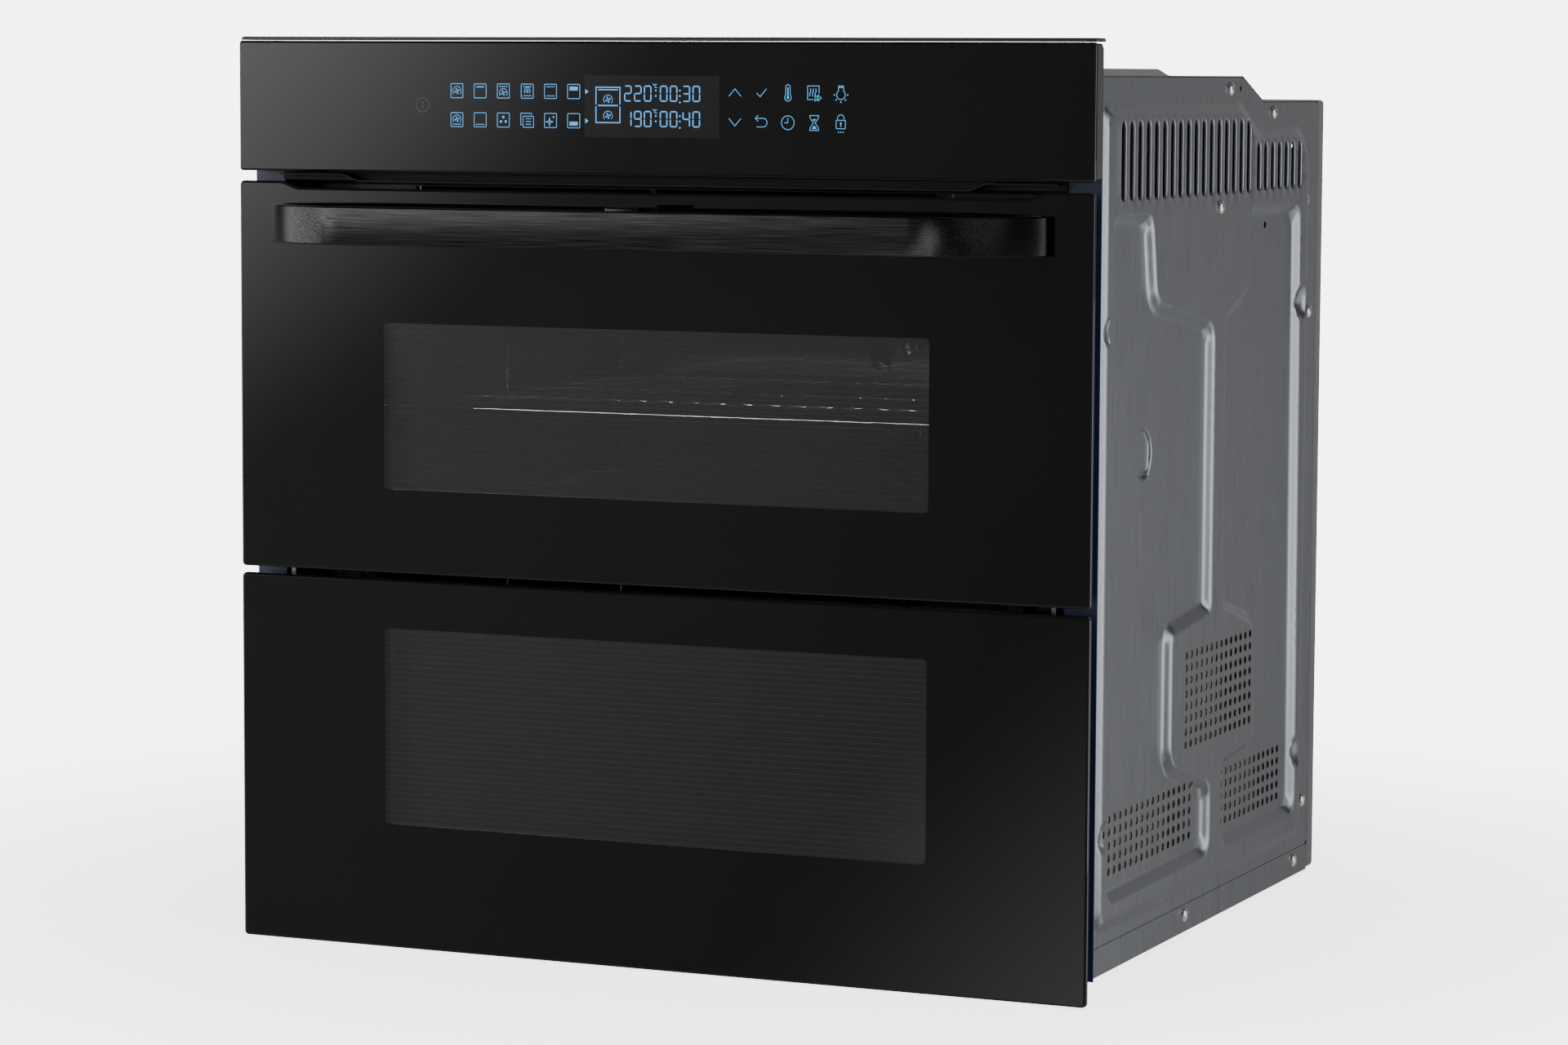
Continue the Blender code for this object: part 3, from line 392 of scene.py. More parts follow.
def span(tree, source, from_low, from_high, low, high, kind="LINEAR"):
    """Map the range from_low..from_high of a value to low..high."""
    node = tree.nodes.new("ShaderNodeMapRange")
    node.interpolation_type = kind
    for name, value in (("From Min", from_low), ("From Max", from_high), ("To Min", low), ("To Max", high)):
        node.inputs[name].default_value = value
    tree.links.new(source, node.inputs["Value"])
    return node.outputs["Result"]


NOISE_LOW, NOISE_HIGH = 0.3, 0.7  # noise mostly lies between these


def finish(name, colours, rough, metal=0.0, size=0.01, stretch=(1, 1, 1), detail=4.0, bump=0.0,
           bump_size=None, bump_stretch=None, **sockets):
    """A Principled finish whose colour and roughness follow one noise, and whose relief follows another."""
    made = bpy.data.materials.new(name)
    made.use_nodes = True
    tree = made.node_tree
    shader = tree.nodes["Principled BSDF"]
    grain = noise(tree, size, detail, stretch)
    colour = ramp(tree, grain, [(NOISE_LOW, colours[0]), (NOISE_HIGH, colours[1])])
    tree.links.new(colour, shader.inputs["Base Color"])
    tree.links.new(span(tree, grain, NOISE_LOW, NOISE_HIGH, *rough), shader.inputs["Roughness"])
    shader.inputs["Metallic"].default_value = metal
    if bump:
        relief = tree.nodes.new("ShaderNodeBump")
        relief.inputs["Distance"].default_value = bump
        relief.inputs["Strength"].default_value = 1.0
        lines = noise(tree, bump_size or size, detail, bump_stretch or stretch)
        tree.links.new(lines, relief.inputs["Height"])
        tree.links.new(relief.outputs["Normal"], shader.inputs["Normal"])
    for socket, value in sockets.items():
        shader.inputs[socket.replace("_", " ")].default_value = value
    return made


def grey(value, tint=(1, 1, 1)):
    return tuple(value * part for part in tint)


def greys(low, high, tint=(1, 1, 1)):
    """The darkest and the lightest tone of a grey finish."""
    return grey(low, tint), grey(high, tint)


# %% [markdown]
# The outer case is galvanised steel: mid grey, metallic, with fine upright rolling lines and a faint
# mottling. The frame round the doors and the cavity carry vitreous enamel, a glass melted on to steel, so
# they are smooth, hard and deep in colour. The panes are black-printed float glass.

# %% The finishes
COOL, GREENISH = (0.94, 0.98, 1.06), (0.9, 1, 0.98)
case_steel, top_steel = (
    finish(name, greys(0.21, 0.26, COOL), (0.27, 0.33), 1.0, 0.0012, grain, bump=0.000004, bump_size=0.0008,
           bump_stretch=relief)
    for name, grain, relief in (("rolled_case_steel", (1, 1, 40), (1, 1, 30)),
                                ("rolled_top_steel", (1, 40, 1), (1, 30, 1))))
bright_steel = finish("bare_bright_steel", greys(0.50, 0.62), (0.22, 0.34), 1.0, 0.002, (4, 4, 4))
screw_steel = finish("zinc_screw_steel", greys(0.62, 0.74), (0.16, 0.26), 1.0, 0.003)
chrome = finish("bright_chromed_wire", greys(0.62, 0.70), (0.06, 0.12), 1.0, 0.02)
navy = finish("navy_flange_enamel", ((0.010, 0.017, 0.050), (0.014, 0.023, 0.064)), (0.30, 0.40), 0.0, 0.03,
              bump=0.00002, bump_size=0.004, Coat_Weight=0.1, Coat_Roughness=0.1)
cavity = finish("speckled_cavity_enamel", ((0.012, 0.013, 0.020), (0.030, 0.032, 0.042)), (0.12, 0.26), 0.0,
                0.0016, detail=8.0, bump=0.00003, bump_size=0.006, Coat_Weight=0.4)
black_glass = finish("black_printed_glass", greys(0.0020, 0.0027), (0.015, 0.03), 0.0, 0.08)
display_glass = finish("display_window_glass", greys(0.0105, 0.0120), (0.02, 0.035), 0.0, 0.05)
window_glass = finish("tinted_window_glass", greys(0.006, 0.009), (0.02, 0.035), 0.0, 0.06, Alpha=0.34,
                      IOR=1.9, Specular_IOR_Level=1.0)
coated_glass = finish("coated_middle_glass", greys(0.006, 0.009), (0.02, 0.03), 0.0, 0.06, Alpha=0.26,
                      IOR=1.85, Specular_IOR_Level=1.0)
clear_glass = finish("clear_inner_glass", greys(0.06, 0.08, GREENISH), (0.01, 0.03), 0.0, 0.05, Alpha=0.10)
lamp_glass = finish("lamp_glass", greys(0.75, 0.82), (0.03, 0.08), 0.0, 0.01, Alpha=0.35)
black_print = finish("black_border_print", greys(0.0030, 0.0045), (0.30, 0.45), 0.0, 0.03)
dot_black = finish("ceramic_dot_print", greys(0.0025, 0.004), (0.45, 0.6), 0.0, 0.01)
black_bar = finish("black_brushed_bar", greys(0.016, 0.060), (0.18, 0.24), 1.0, 0.0006, (70, 1, 1),
                   bump=0.000004, bump_size=0.0005, bump_stretch=(70, 1, 1))
satin_black = finish("satin_black_trim", greys(0.008, 0.012), (0.30, 0.42), 0.0, 0.002, bump=0.00001)
gap_black = finish("matt_black_gap_trim", greys(0.004, 0.007), (0.45, 0.6), 0.0, 0.003, bump=0.00001,
                   Specular_IOR_Level=0.25)
housing_black = finish("moulded_black_plastic", greys(0.012, 0.018), (0.45, 0.6), 0.0, 0.0015,
                       bump=0.00002, bump_size=0.0012)
rubber = finish("silicone_gasket", greys(0.012, 0.020), (0.55, 0.75), 0.0, 0.004, bump=0.00003)
wool = finish("glass_wool", ((0.50, 0.43, 0.22), (0.68, 0.62, 0.38)), (0.85, 0.95), 0.0, 0.004, (6, 6, 1),
              bump=0.0006, bump_size=0.003, bump_stretch=(5, 5, 1))
board_green = finish("green_circuit_board", ((0.010, 0.070, 0.028), (0.016, 0.105, 0.042)), (0.3, 0.45),
                     0.0, 0.004)
standby_grey = finish("standby_print_grey", greys(0.045, 0.055, GREENISH), (0.3, 0.4), 0.0, 0.01)


def lit(name, colour, strength):
    """A print that glows: the light spreads a little unevenly over it."""
    made = finish(name, greys(0.01, 0.012), (0.2, 0.3), 0.0, 0.01)
    tree = made.node_tree
    shader = tree.nodes["Principled BSDF"]
    glow = ramp(tree, noise(tree, 0.02), [(NOISE_LOW, grey(0.94, colour)), (NOISE_HIGH, colour)])
    tree.links.new(glow, shader.inputs["Emission Color"])
    shader.inputs["Emission Strength"].default_value = strength
    return made


symbol_blue = lit("lit_blue_symbols", (0.095, 0.45, 0.95), 1.25)
digit_blue = lit("lit_blue_digits", (0.085, 0.42, 0.95), 1.35)
print(len(bpy.data.materials), "finishes")

# %% [markdown]
# ## Side panels
# Each side is one pressing. A raised field leaves a flat border for the screws, two deep recesses stiffen
# the field, and rows of slots with curled edges let the cooling air out. Round perforations sit between
# the recesses.

# %% Side panel
FLANGE_X, FIELD_X = 276.5, 280.0
SHEET, SLOPE, RECESS, CURL = 0.8, 8.5, 5.0, 1.3
EDGE_INSET = 0.1  # from the solid model's edge
side_low, side_high = box_mm("side_panel_right")
STEP_START, STEP_END = 71.0, (117.5, 551.5)  # where the upper edge steps down to the rear


def side_blank():
    """The panel's outline in (y, z), inset a hair from the solid model's edge."""
    front, low = side_low[1:] + EDGE_INSET
    rear, high = side_high[1:] - EDGE_INSET
    step = STEP_END[1] - EDGE_INSET
    corners = [(front, low), (rear, low), (rear, step), (STEP_END[0], step), (STEP_START, high),
               (front, high)]
    return rounded_outline(corners, [2, 2, 2, 6, 6, 2], 3)


def stadium(centre, width, length):
    """An upright slot with round ends, anticlockwise."""
    top = arc((0, (length - width) / 2), width / 2, 0, 180, 7)
    return even_outline(np.vstack([top, -top]), 2.2) + np.asarray(centre)


def perforations(first_y, last_y, columns, low_z, high_z, rows, radius=2.7):
    grid = [(y, z) for y in np.linspace(first_y, last_y, columns) for z in np.linspace(low_z, high_z, rows)]
    return [circle(centre, radius, 10) for centre in grid]


field = rounded_outline([(-216, 27), (221, 27), (221, 535), (102, 534), (66, 552), (-216, 551.6)],
                        [12, 14, 32, 18, 24, 12])
front_recess = rounded_outline(
    [(-199, 43), (10.1, 45.3), (10.1, 97), (-72.6, 119), (-72.6, 202.7), (8.4, 210.5), (8.4, 406),
     (-111, 425), (-121, 482), (-199, 482)], [12, 14, 14, 14, 6, 6, 16, 16, 14, 12])
rear_recess = rounded_outline(
    [(33.3, 46), (203, 46), (197, 482), (80.5, 482), (80.5, 426), (29.7, 410), (29.7, 211), (102.7, 192),
     (102.7, 115), (33.3, 108.5)], [12, 14, 14, 14, 14, 14, 14, 14, 6, 6])
front_bulges, rear_bulges = ([circle(centre, 13, 20) for centre in centres]
                             for centres in (((-199, 409), (-199, 88)), ((202, 411), (207, 91))))
side_features = [
    feature(field, FIELD_X - FLANGE_X, SLOPE),
    feature(front_recess, -RECESS, SLOPE, front_bulges),
    feature(rear_recess, -RECESS, SLOPE, rear_bulges),
    feature(circle((-122.4, 326.5), 17.5, 40), -2.0, 3.0),
]
side_slots = ([stadium((-180.4 + 16.0 * k, 515.7), 7.4, 50.0) for k in range(17)]
              + [stadium((98.4 + 15.6 * k, 508.0), 7.4, 33) for k in range(7)])
side_holes = (perforations(-43.8, 93.4, 14, 127.8, 187.5, 8) + perforations(-191.1, -19.7, 17, 63.5, 97.5, 5)
              + perforations(36.8, 175.0, 14, 62.8, 96.5, 5)
              + [circle((129, 467.3), 2.4, 12), circle((65.8, 560.9), 1.9, 12)])
side_sheet = pressed_sheet(side_blank(), side_features, side_slots, side_holes,
                           lambda u, v, h: np.column_stack([FLANGE_X + h, u, v]), SHEET, curl=CURL)
SIDES = (("right", 1), ("left", -1))
for name, side in SIDES:
    piece("side_pressing_" + name, *sided(side, *side_sheet), case_steel, "oven", "galvanised_steel",
          ["side_panel_" + name])

# %% [markdown]
# ## Case screws
# Pan-head screws hold the border down. A head is a low dome, turned from its profile, with a dimple in
# its middle.

# %% Screws
FIELD_SCREW = (15.4, 482.2)
SCREWS = [(44, 560.6), (140.4, 544.5), FIELD_SCREW, (218.2, 482.5), (228.2, 403.2), (230.2, 52),
          (212.2, 11), (-31.8, 11.5)]


def screw_head(centre, seat, radius=4.6, rise=2.4, rim=0.5, dimple=0.9):
    """A dome (r cos a, h sin a) on a low rim, dimpled in its middle."""
    lift = np.linspace(0, math.pi / 2, 7)
    dome = np.column_stack([radius * np.cos(lift), seat + rim + (rise - rim) * np.sin(lift)])
    dome[-1, 0] = dimple
    return turned(np.vstack([[radius, seat], dome, [dimple - 0.2, seat + rise - dimple]]), centre)


for name, side in SIDES:
    heads = Shape()
    for centre in SCREWS:
        heads.add(*sided(side, *screw_head(centre, FIELD_X if centre == FIELD_SCREW else FLANGE_X)))
    heads.write("case_screws_" + name, screw_steel, "oven", "bright_steel")

# %% [markdown]
# ## Top and back of the case
# The top cover steps down like the sides and has a wide raised panel. The back is a shallow pan with
# stiffening beads, outlet slots and a raised cover over the mains terminal.

# %% Top cover
top_low, top_high = box_mm("top_cover")
high_z, low_z = side_high[2] + 1.05, top_low[2] + 0.75
top_line = np.array([(top_low[1] + EDGE_INSET, high_z), (STEP_START, high_z), (STEP_END[0], low_z),
                     (top_high[1] - EDGE_INSET, low_z)])
top_run = np.concatenate([[0], np.cumsum(np.linalg.norm(np.diff(top_line, axis=0), axis=1))])


def on_top(u, v, h):
    """Carry the blank's second coordinate along the stepped line in (y, z), and lift by h."""
    y, z = (np.interp(v, top_run, column) for column in top_line.T)
    return np.column_stack([u, y, z + h])


top_features = [feature(rectangle(-238, 238, 30, 312, 20, 8), 4.5, 9.0)]
top_features += [feature(rectangle(x, x + 90, 70, 270, 14, 8), -2.5, 6.0) for x in (-150, 60)]
top_slots = [stadium((x, 412), 5, 44) for x in np.arange(-200, 201, 16)]
top_sheet = pressed_sheet(rectangle(-276.4, 276.4, 0, top_run[-1], 2, 3), top_features, top_slots, [],
                          on_top, SHEET, pitch=10.0, curl=2.0)
piece("top_pressing", *top_sheet, top_steel, "oven", "galvanised_steel", ["top_cover"])

# %% Back pan
back_low, back_high = box_mm("back_panel")
BACK_Y = back_high[1]


def on_back(u, v, h):
    """The blank faces backwards, so x runs against u."""
    return np.column_stack([-u, BACK_Y - 4.6 + h, v])


back_features = [feature(rectangle(-262, 262, 14, 538, 16, 8), 3.0, 6.0)]
back_features += [feature(rectangle(-180, 180, z, z + 140, 26, 8), -4.0, 7.0) for z in (70, 262)]
back_features += [feature(circle((0, z), 42, 48), 2.5, 6.0) for z in (149, 342)]
back_features += [feature(rectangle(-206, -134, 484, 520, 6, 6), 1.4, 3.0)]
back_slots = [stadium((x, 470), 5, 40) for x in np.arange(-100, 221, 16)]
back_holes = [circle((x, z), 2.6, 12) for x in (-250, 250) for z in (40, 290, 520)]
back = Shape()
back.add(*pressed_sheet(rectangle(-274.5, 274.5, back_low[2] + 2, back_high[2] - 2, 3, 4), back_features,
                        back_slots, back_holes, on_back, SHEET, pitch=11.0, curl=2.0))
PAN_HALF, PAN_FRONT, FOLD = 276.4, 244.5, 2.0
fold = arc((PAN_HALF - FOLD, BACK_Y - 5.45), FOLD, 0, 90, 5)
pan = [(PAN_HALF, PAN_FRONT), *fold, (274.0, BACK_Y - 4.4), (273.6, BACK_Y - 5.4), (275.6, BACK_Y - 7.6),
       (275.6, PAN_FRONT)]
rings = []
for half, y in pan:
    inset = half - PAN_HALF - 0.1
    outline = rectangle(-half, half, back_low[2] - inset, back_high[2] + inset, 3, 4)
    rings.append(upright(outline * [-1, 1], y))
back.add(*skin(rings, closed=True))
back.write("back_pan", case_steel, "oven", "galvanised_steel", nodes=["back_panel"])

terminal = Shape()
terminal_low, terminal_high = box_mm("terminal_block")
for inset, front, rear in ((0, 0, 24), (4, 24, 30)):
    outline = rectangle(terminal_low[0] + inset, terminal_high[0] - inset, terminal_low[2] + inset,
                        terminal_high[2] - inset, 2.5, 5)
    terminal.add(*skin([upright(outline * [1 - taper, 1], terminal_low[1] + y)
                        for y, taper in ((front, 0), (rear - 1, 0), (rear - 0.3, 0.001), (rear, 1 / 300))]))
terminal.write("mains_terminal_cover", housing_black, "oven", "black_plastic", nodes=["terminal_block"])

# %% [markdown]
# ## Glass front
# Three panes make the front. Each has a ground and polished edge that catches the light as a thin line.
# The doors' panes are printed black from behind except for a window, where only rows of small dots are
# printed. The middle pane of each door has a black border print, which hides the frame behind it.

# %% Panes
glass_low, glass_high = box_mm("lower_door_glass")
FRONT, GLASS_BACK, HALF = glass_low[1], glass_high[1], glass_high[0]
BEVEL = [(0.0, GLASS_BACK), (0.0, FRONT + 1.5), (0.12, FRONT + 0.9), (0.45, FRONT + 0.45),
         (0.9, FRONT + 0.15), (1.5, FRONT)]


def pane(name, outline, body, node, window=None):
    """A plate with a rounded front edge; the outline is carried inwards along its normals."""
    shape = Shape()
    rings = [outline - outward(outline) * inset for inset, _ in BEVEL]
    rim, cells = skin([upright(ring, y) for ring, (_, y) in zip(rings, BEVEL)])
    shape.add(rim, cells[:1])
    hole = [window] if window is not None else []
    for ring, y, turn in ((rings[-1], FRONT, 1), (rings[0], GLASS_BACK, -1)):
        flat, faces = triangles(ring, hole)
        shape.add(upright(flat, y), [faces[:, ::turn]])
    if window is not None:
        rim, cells = skin([upright(window, y) for y in (GLASS_BACK, FRONT)])
        shape.add(rim, [cells[0][:, ::-1]])
    return shape.write(name, black_glass, body, "black_glass", nodes=[node], angle=50)


def plate(outline, front, rear):
    return skin([upright(outline, y) for y in (rear, front)])


WINDOW_HALF = 190.6
lower_window, upper_window = (rectangle(-WINDOW_HALF, WINDOW_HALF, low, high, 3.0, 5)
                              for low, high in ((78.0, 207.3), (298.5, 407.0)))
lower_edge = rectangle(-HALF, HALF, glass_low[2], glass_high[2], 3.0, 6)
pane("lower_door_pane", lower_edge, "main_door", "lower_door_glass", lower_window)

upper_low, upper_high = box_mm("upper_door_glass")
EAR_FOOT, EAR_HEAD, DIP = 252.0, 268.0, 493.8  # the upper edge dips between two ears
share = np.linspace(0, 1, 13)[1:-1, None]
rise = (EAR_FOOT, DIP) + (EAR_HEAD - EAR_FOOT, upper_high[2] - DIP) * np.hstack([share, smooth_step(share)])
dip = np.vstack([rise[::-1], [(EAR_FOOT, DIP), (-EAR_FOOT, DIP)], rise * [-1, 1]])
corners = rectangle(-HALF, HALF, upper_low[2], upper_high[2], 3.0, 6)
upper_edge = np.insert(corners, 3 * len(corners) // 4, dip, axis=0)  # after the third corner
pane("upper_door_pane", upper_edge, "upper_door", "upper_door_glass", upper_window)

panel_low, panel_high = box_mm("control_glass")
pane("control_pane", rectangle(-HALF, HALF, panel_low[2], panel_high[2], 2.0, 6), "oven", "control_glass")

PRINT_LAP = 3.0  # of the border print over a window's upper and lower edge
DOT_RADIUS, DOT_PITCH = 0.40, (1.1, 3.8)
for name, window, body in (("lower", lower_window, "main_door"), ("upper", upper_window, "upper_door")):
    inset = window - outward(window) * 0.02
    piece(name + "_window_glass", *plate(inset, FRONT, GLASS_BACK - 0.4), window_glass, body, "black_glass")
    middle_low, middle_high = box_mm(name + "_middle_glass")
    edge = rectangle(middle_low[0] + 1, middle_high[0] - 1, middle_low[2] + 1, middle_high[2] - 1, 3, 4)
    low, high = window[:, 1].min() + PRINT_LAP, window[:, 1].max() - PRINT_LAP
    border, cover = triangles(edge, [rectangle(-WINDOW_HALF, WINDOW_HALF, low, high, 4.0, 5)])
    border = upright(border, middle_low[1] - 0.05)
    piece(name + "_middle_print", border, [cover], black_print, body, "black_glass")
    low, high = inset.min(0) + (1.2, 2.2), inset.max(0) - (0.8, 1.2)
    spots = np.stack(np.meshgrid(*(np.arange(*ends) for ends in zip(low, high, DOT_PITCH))), -1)
    dots = (spots.reshape(-1, 1, 2) + circle((0, 0), DOT_RADIUS, 6)).reshape(-1, 2)
    cells = np.arange(len(dots)).reshape(-1, 6)
    piece(name + "_window_dots", upright(dots, FRONT - 0.02), [cells], dot_black, body, "black_glass")

# %% [markdown]
# ## Panel symbols
# The symbols are light blue and glow through the black print. Each is drawn as strokes of even width, a
# hair in front of the glass, from arcs and straight lines.

# %% Strokes
PRINT_Y, STROKE = FRONT - 0.04, 0.42


class Strokes:
    """Flat ribbons and filled shapes in the plane of the panel, drawn about an origin that moves."""

    def __init__(self):
        self.shape, self.origin = Shape(), np.zeros(2)

    def move(self, x, z):
        self.origin = np.array([x, z])

    def fill(self, outline):
        outline = np.asarray(outline, float)
        run = np.roll(outline, -1, 0)
        if (outline[:, 0] * run[:, 1] - outline[:, 1] * run[:, 0]).sum() < 0:
            outline = outline[::-1]
        self.shape.add(upright(outline + self.origin, PRINT_Y), [np.arange(len(outline))[None]])

    def line(self, path, width=STROKE, closed=False):
        """A ribbon: at each point the edge is offset by w / 2 along the mitre of its two segments."""
        path = np.asarray(path, float)
        ahead, behind = np.roll(path, -1, 0) - path, path - np.roll(path, 1, 0)
        if not closed:
            ahead[-1], behind[0] = behind[-1], ahead[0]
        ahead = unit(ahead)
        mean = unit(ahead + unit(behind))
        mitre = width / 2 / np.maximum((mean * ahead).sum(1, keepdims=True), 0.4)
        offset = np.column_stack([-mean[:, 1], mean[:, 0]]) * mitre
        count = len(path)
        first = np.arange(count if closed else count - 1)
        second = (first + 1) % count
        quads = np.column_stack([first, second, second + count, first + count])
        self.shape.add(upright(np.vstack([path - offset, path + offset]) + self.origin, PRINT_Y), [quads])

    def loop(self, path, width=STROKE):
        self.line(path, width, closed=True)

    def dot(self, centre, radius):
        self.fill(circle(centre, radius, 16))

    def fan(self, size, z=0.0):
        """Four leaning blades inside an arch."""
        self.line(arc((0, z), size, -40, 220, 22), STROKE * 0.85)
        for turn in range(0, 360, 90):
            self.fill(np.vstack([arc((0, z), size * 0.62, turn, turn + 40, 5), [[0, z]]]))

    def bar(self, z, low=-3.0, high=3.0, width=STROKE):
        self.line([(low, z), (high, z)], width)


# %% Function symbols
TOP_ROW, LOW_ROW = 557.5, 539.0
COLUMNS = (-136.9, -120.2, -103.6, -86.5, -70.0, -53.6)
DOUBLE = (COLUMNS[3], LOW_ROW)  # the one symbol whose frame is drawn as two sheets
symbols = Strokes()
for place in [(x, z) for x in COLUMNS for z in (TOP_ROW, LOW_ROW) if (x, z) != DOUBLE]:
    symbols.move(*place)
    symbols.loop(rectangle(-4.3, 4.3, -4.5, 4.5, 0.6, 3))
# column, row, the fan's size and height, and the heights of the bars
FANS_AND_BARS = [(0, TOP_ROW, [(3.0, -0.2)], []), (2, TOP_ROW, [(2.8, -1.2)], [2.9]),
                 (3, TOP_ROW, [(2.1, 0.1)], [2.9, -2.9]), (4, TOP_ROW, [], [2.9, -2.9]),
                 (0, LOW_ROW, [(2.8, 0.3)], [-2.9]), (1, LOW_ROW, [], [-2.9])]
for column, row, fans, lifts in FANS_AND_BARS:
    symbols.move(COLUMNS[column], row)
    for size, lift in fans:
        symbols.fan(size, lift)
    for lift in lifts:
        symbols.bar(lift)
for row, low in ((TOP_ROW, 0.6), (LOW_ROW, -3.1)):
    symbols.move(COLUMNS[5], row)
    symbols.fill(rectangle(-2.9, 2.9, low, low + 2.5, 0.2, 2))
    symbols.move(-44.4, row)
    symbols.fill([(-1.1, -1.6), (1.3, 0), (-1.1, 1.6)])
symbols.move(COLUMNS[1], TOP_ROW)
symbols.line(np.column_stack([np.linspace(-2.9, 2.9, 9), 2.6 + 0.45 * (-1) ** np.arange(9)]))
symbols.move(COLUMNS[2], LOW_ROW)
for turn in np.radians((90, 210, 330)):
    symbols.dot((2.0 * math.cos(turn), 1.9 * math.sin(turn)), 0.85)
symbols.move(*DOUBLE)
symbols.loop(rectangle(-3.0, 4.5, -4.5, 2.6, 0.5, 3))
symbols.line([(-3.6, -2.9), (-4.6, -2.9), (-4.6, 4.5), (2.9, 4.5), (2.9, 3.4)])
for lift in (1.0, -0.8, -2.6):
    symbols.bar(lift, -1.1, 2.7)
symbols.move(COLUMNS[4], LOW_ROW)
turn, reach = np.arange(8) * math.pi / 4, np.array([3.0, 0.8] * 4)
spark = np.column_stack([reach * np.cos(turn), reach * np.sin(turn)])
symbols.loop(spark * 0.85 + (-0.7, -0.8), 0.5)
symbols.fill(spark * 0.4 + (2.1, 2.2))

# %% Setting symbols
KEYS = (58.5, 76.6, 94.6, 112.5, 130.4)
for row, way in ((TOP_ROW, 1), (LOW_ROW, -1)):  # up and down
    symbols.move(KEYS[0], row)
    symbols.line([(-4.1, -way * 2.3), (0, way * 2.3), (4.1, -way * 2.3)])
symbols.move(KEYS[1], TOP_ROW)  # tick
symbols.line([(-3.2, -0.2), (-0.9, -2.5), (3.4, 2.5)])
symbols.move(KEYS[1], LOW_ROW)  # back
symbols.line(np.vstack([[(-3.2, -2.8)], arc((1.2, -0.1), 2.7, -90, 90, 12), [(-4.0, 2.6)]]))
symbols.line([(-2.2, 4.5), (-4.1, 2.6), (-2.2, 0.7)])
symbols.move(KEYS[2], TOP_ROW)  # thermometer
symbols.loop(np.vstack([arc((0, 3.6), 1.5, 0, 180, 9), arc((0, -2.9), 2.2, 135, 405, 20)]))
symbols.line([(0, -2.6), (0, 3.4)], 0.8)
symbols.dot((0, -2.9), 0.9)
symbols.move(KEYS[2], LOW_ROW)  # clock
symbols.loop(circle((0, 0), 4.3, 32))
symbols.line([(-2.5, 0), (0, 0), (0, 3.0)])
symbols.move(KEYS[3], TOP_ROW)  # steam and fast forward
symbols.line([(3.2, -0.2), (3.2, 4.4), (-4.6, 4.4), (-4.6, -4.0), (-0.6, -4.0)])
wave = np.linspace(-1, 1, 13)
for shift in (-2.8, -1.0, 0.8):
    symbols.line(np.column_stack([shift + 0.45 * np.sin(wave * math.pi), 0.4 + 2.4 * wave]), 0.5)
for shift in (0.4, 2.4):
    symbols.loop([(shift, -4.9), (shift + 2.2, -3.0), (shift, -1.1)])
symbols.move(KEYS[3], LOW_ROW)  # hourglass
half_glass = np.array([(3, 4.6), (2.7, 2.9), (0.6, 0), (2.7, -2.9), (3, -4.6)])
symbols.loop(np.vstack([[(-3, 4.6)], half_glass, half_glass[:0:-1] * [-1, 1]]))
symbols.fill([(-1.7, -3.7), (1.7, -3.7), (0, -1.4)])
symbols.fill([(-1.2, 2.4), (1.2, 2.4), (0, 0.8)])
symbols.move(KEYS[4], TOP_ROW)  # lamp
symbols.loop(np.vstack([arc((0, -1.0), 2.9, 128, 412, 22), [(1.6, 4.5), (-1.6, 4.5)]]))
symbols.bar(3.6, -1.6, 1.6, 0.5)
for turn in (180, 225, 270, 315, 360):
    symbols.line(np.vstack([arc((0, -1.0), reach, turn, turn, 1) for reach in (4.0, 4.9)]), 0.75)
symbols.move(KEYS[4], LOW_ROW)  # lock
symbols.loop(rectangle(-3.1, 3.1, -3.4, 1.8, 0.5, 3))
symbols.line(np.vstack([[(2.2, 1.8)], arc((0, 3.0), 2.2, 0, 180, 12), [(-2.2, 1.8)]]))
symbols.dot((0, -0.1), 0.65)
symbols.line([(0, -0.2), (0, -2.2)], 0.6)
for shift in (-1.6, 0, 1.6):
    symbols.dot((shift, -5.6), 0.4)
symbols.shape.write("panel_symbols", symbol_blue, "oven", "black_glass")

standby = Strokes()
standby.move(-161.6, 548.3)
standby.loop(circle((0, 0), 4.5, 40), 0.45)
standby.line([(0, -2.3), (0, 2.3)], 0.45)
standby.shape.write("standby_symbol", standby_grey, "oven", "black_glass")

# %% Display
display_window = rectangle(-46.0, 47.8, 528.8, 567.8, 0.3, 2)
display_plate = plate(display_window, FRONT - 0.015, FRONT + 0.1)
piece("display_window", *display_plate, display_glass, "oven", "black_glass")
DIGIT_WIDE, DIGIT_TALL, SEGMENT, SEGMENT_GAP = 5.3, 10.2, 0.82, 0.18
LIT = {"0": "abcdef", "1": "bc", "2": "abged", "3": "abgcd", "4": "fgbc", "9": "abcdfg"}
left, right = SEGMENT / 2, DIGIT_WIDE - SEGMENT / 2
foot, middle, head = SEGMENT / 2, DIGIT_TALL / 2, DIGIT_TALL - SEGMENT / 2
ENDS = {"a": ((left, head), (right, head)), "g": ((left, middle), (right, middle)),
        "d": ((left, foot), (right, foot)), "f": ((left, middle), (left, head)),
        "b": ((right, middle), (right, head)), "e": ((left, foot), (left, middle)),
        "c": ((right, foot), (right, middle))}


def digit(art, figure):
    """One seven-segment figure from its lower left corner. A segment is a bar with pointed ends."""
    for name in LIT[figure]:
        start, end = np.array(ENDS[name])
        along = (end - start) / np.linalg.norm(end - start)
        across, cut = np.array([-along[1], along[0]]) * SEGMENT / 2, along * SEGMENT / 2
        start, end = start + along * SEGMENT_GAP, end - along * SEGMENT_GAP
        near, far = start + cut, end - cut
        art.fill([start, near - across, far - across, end, far + across, near + across])


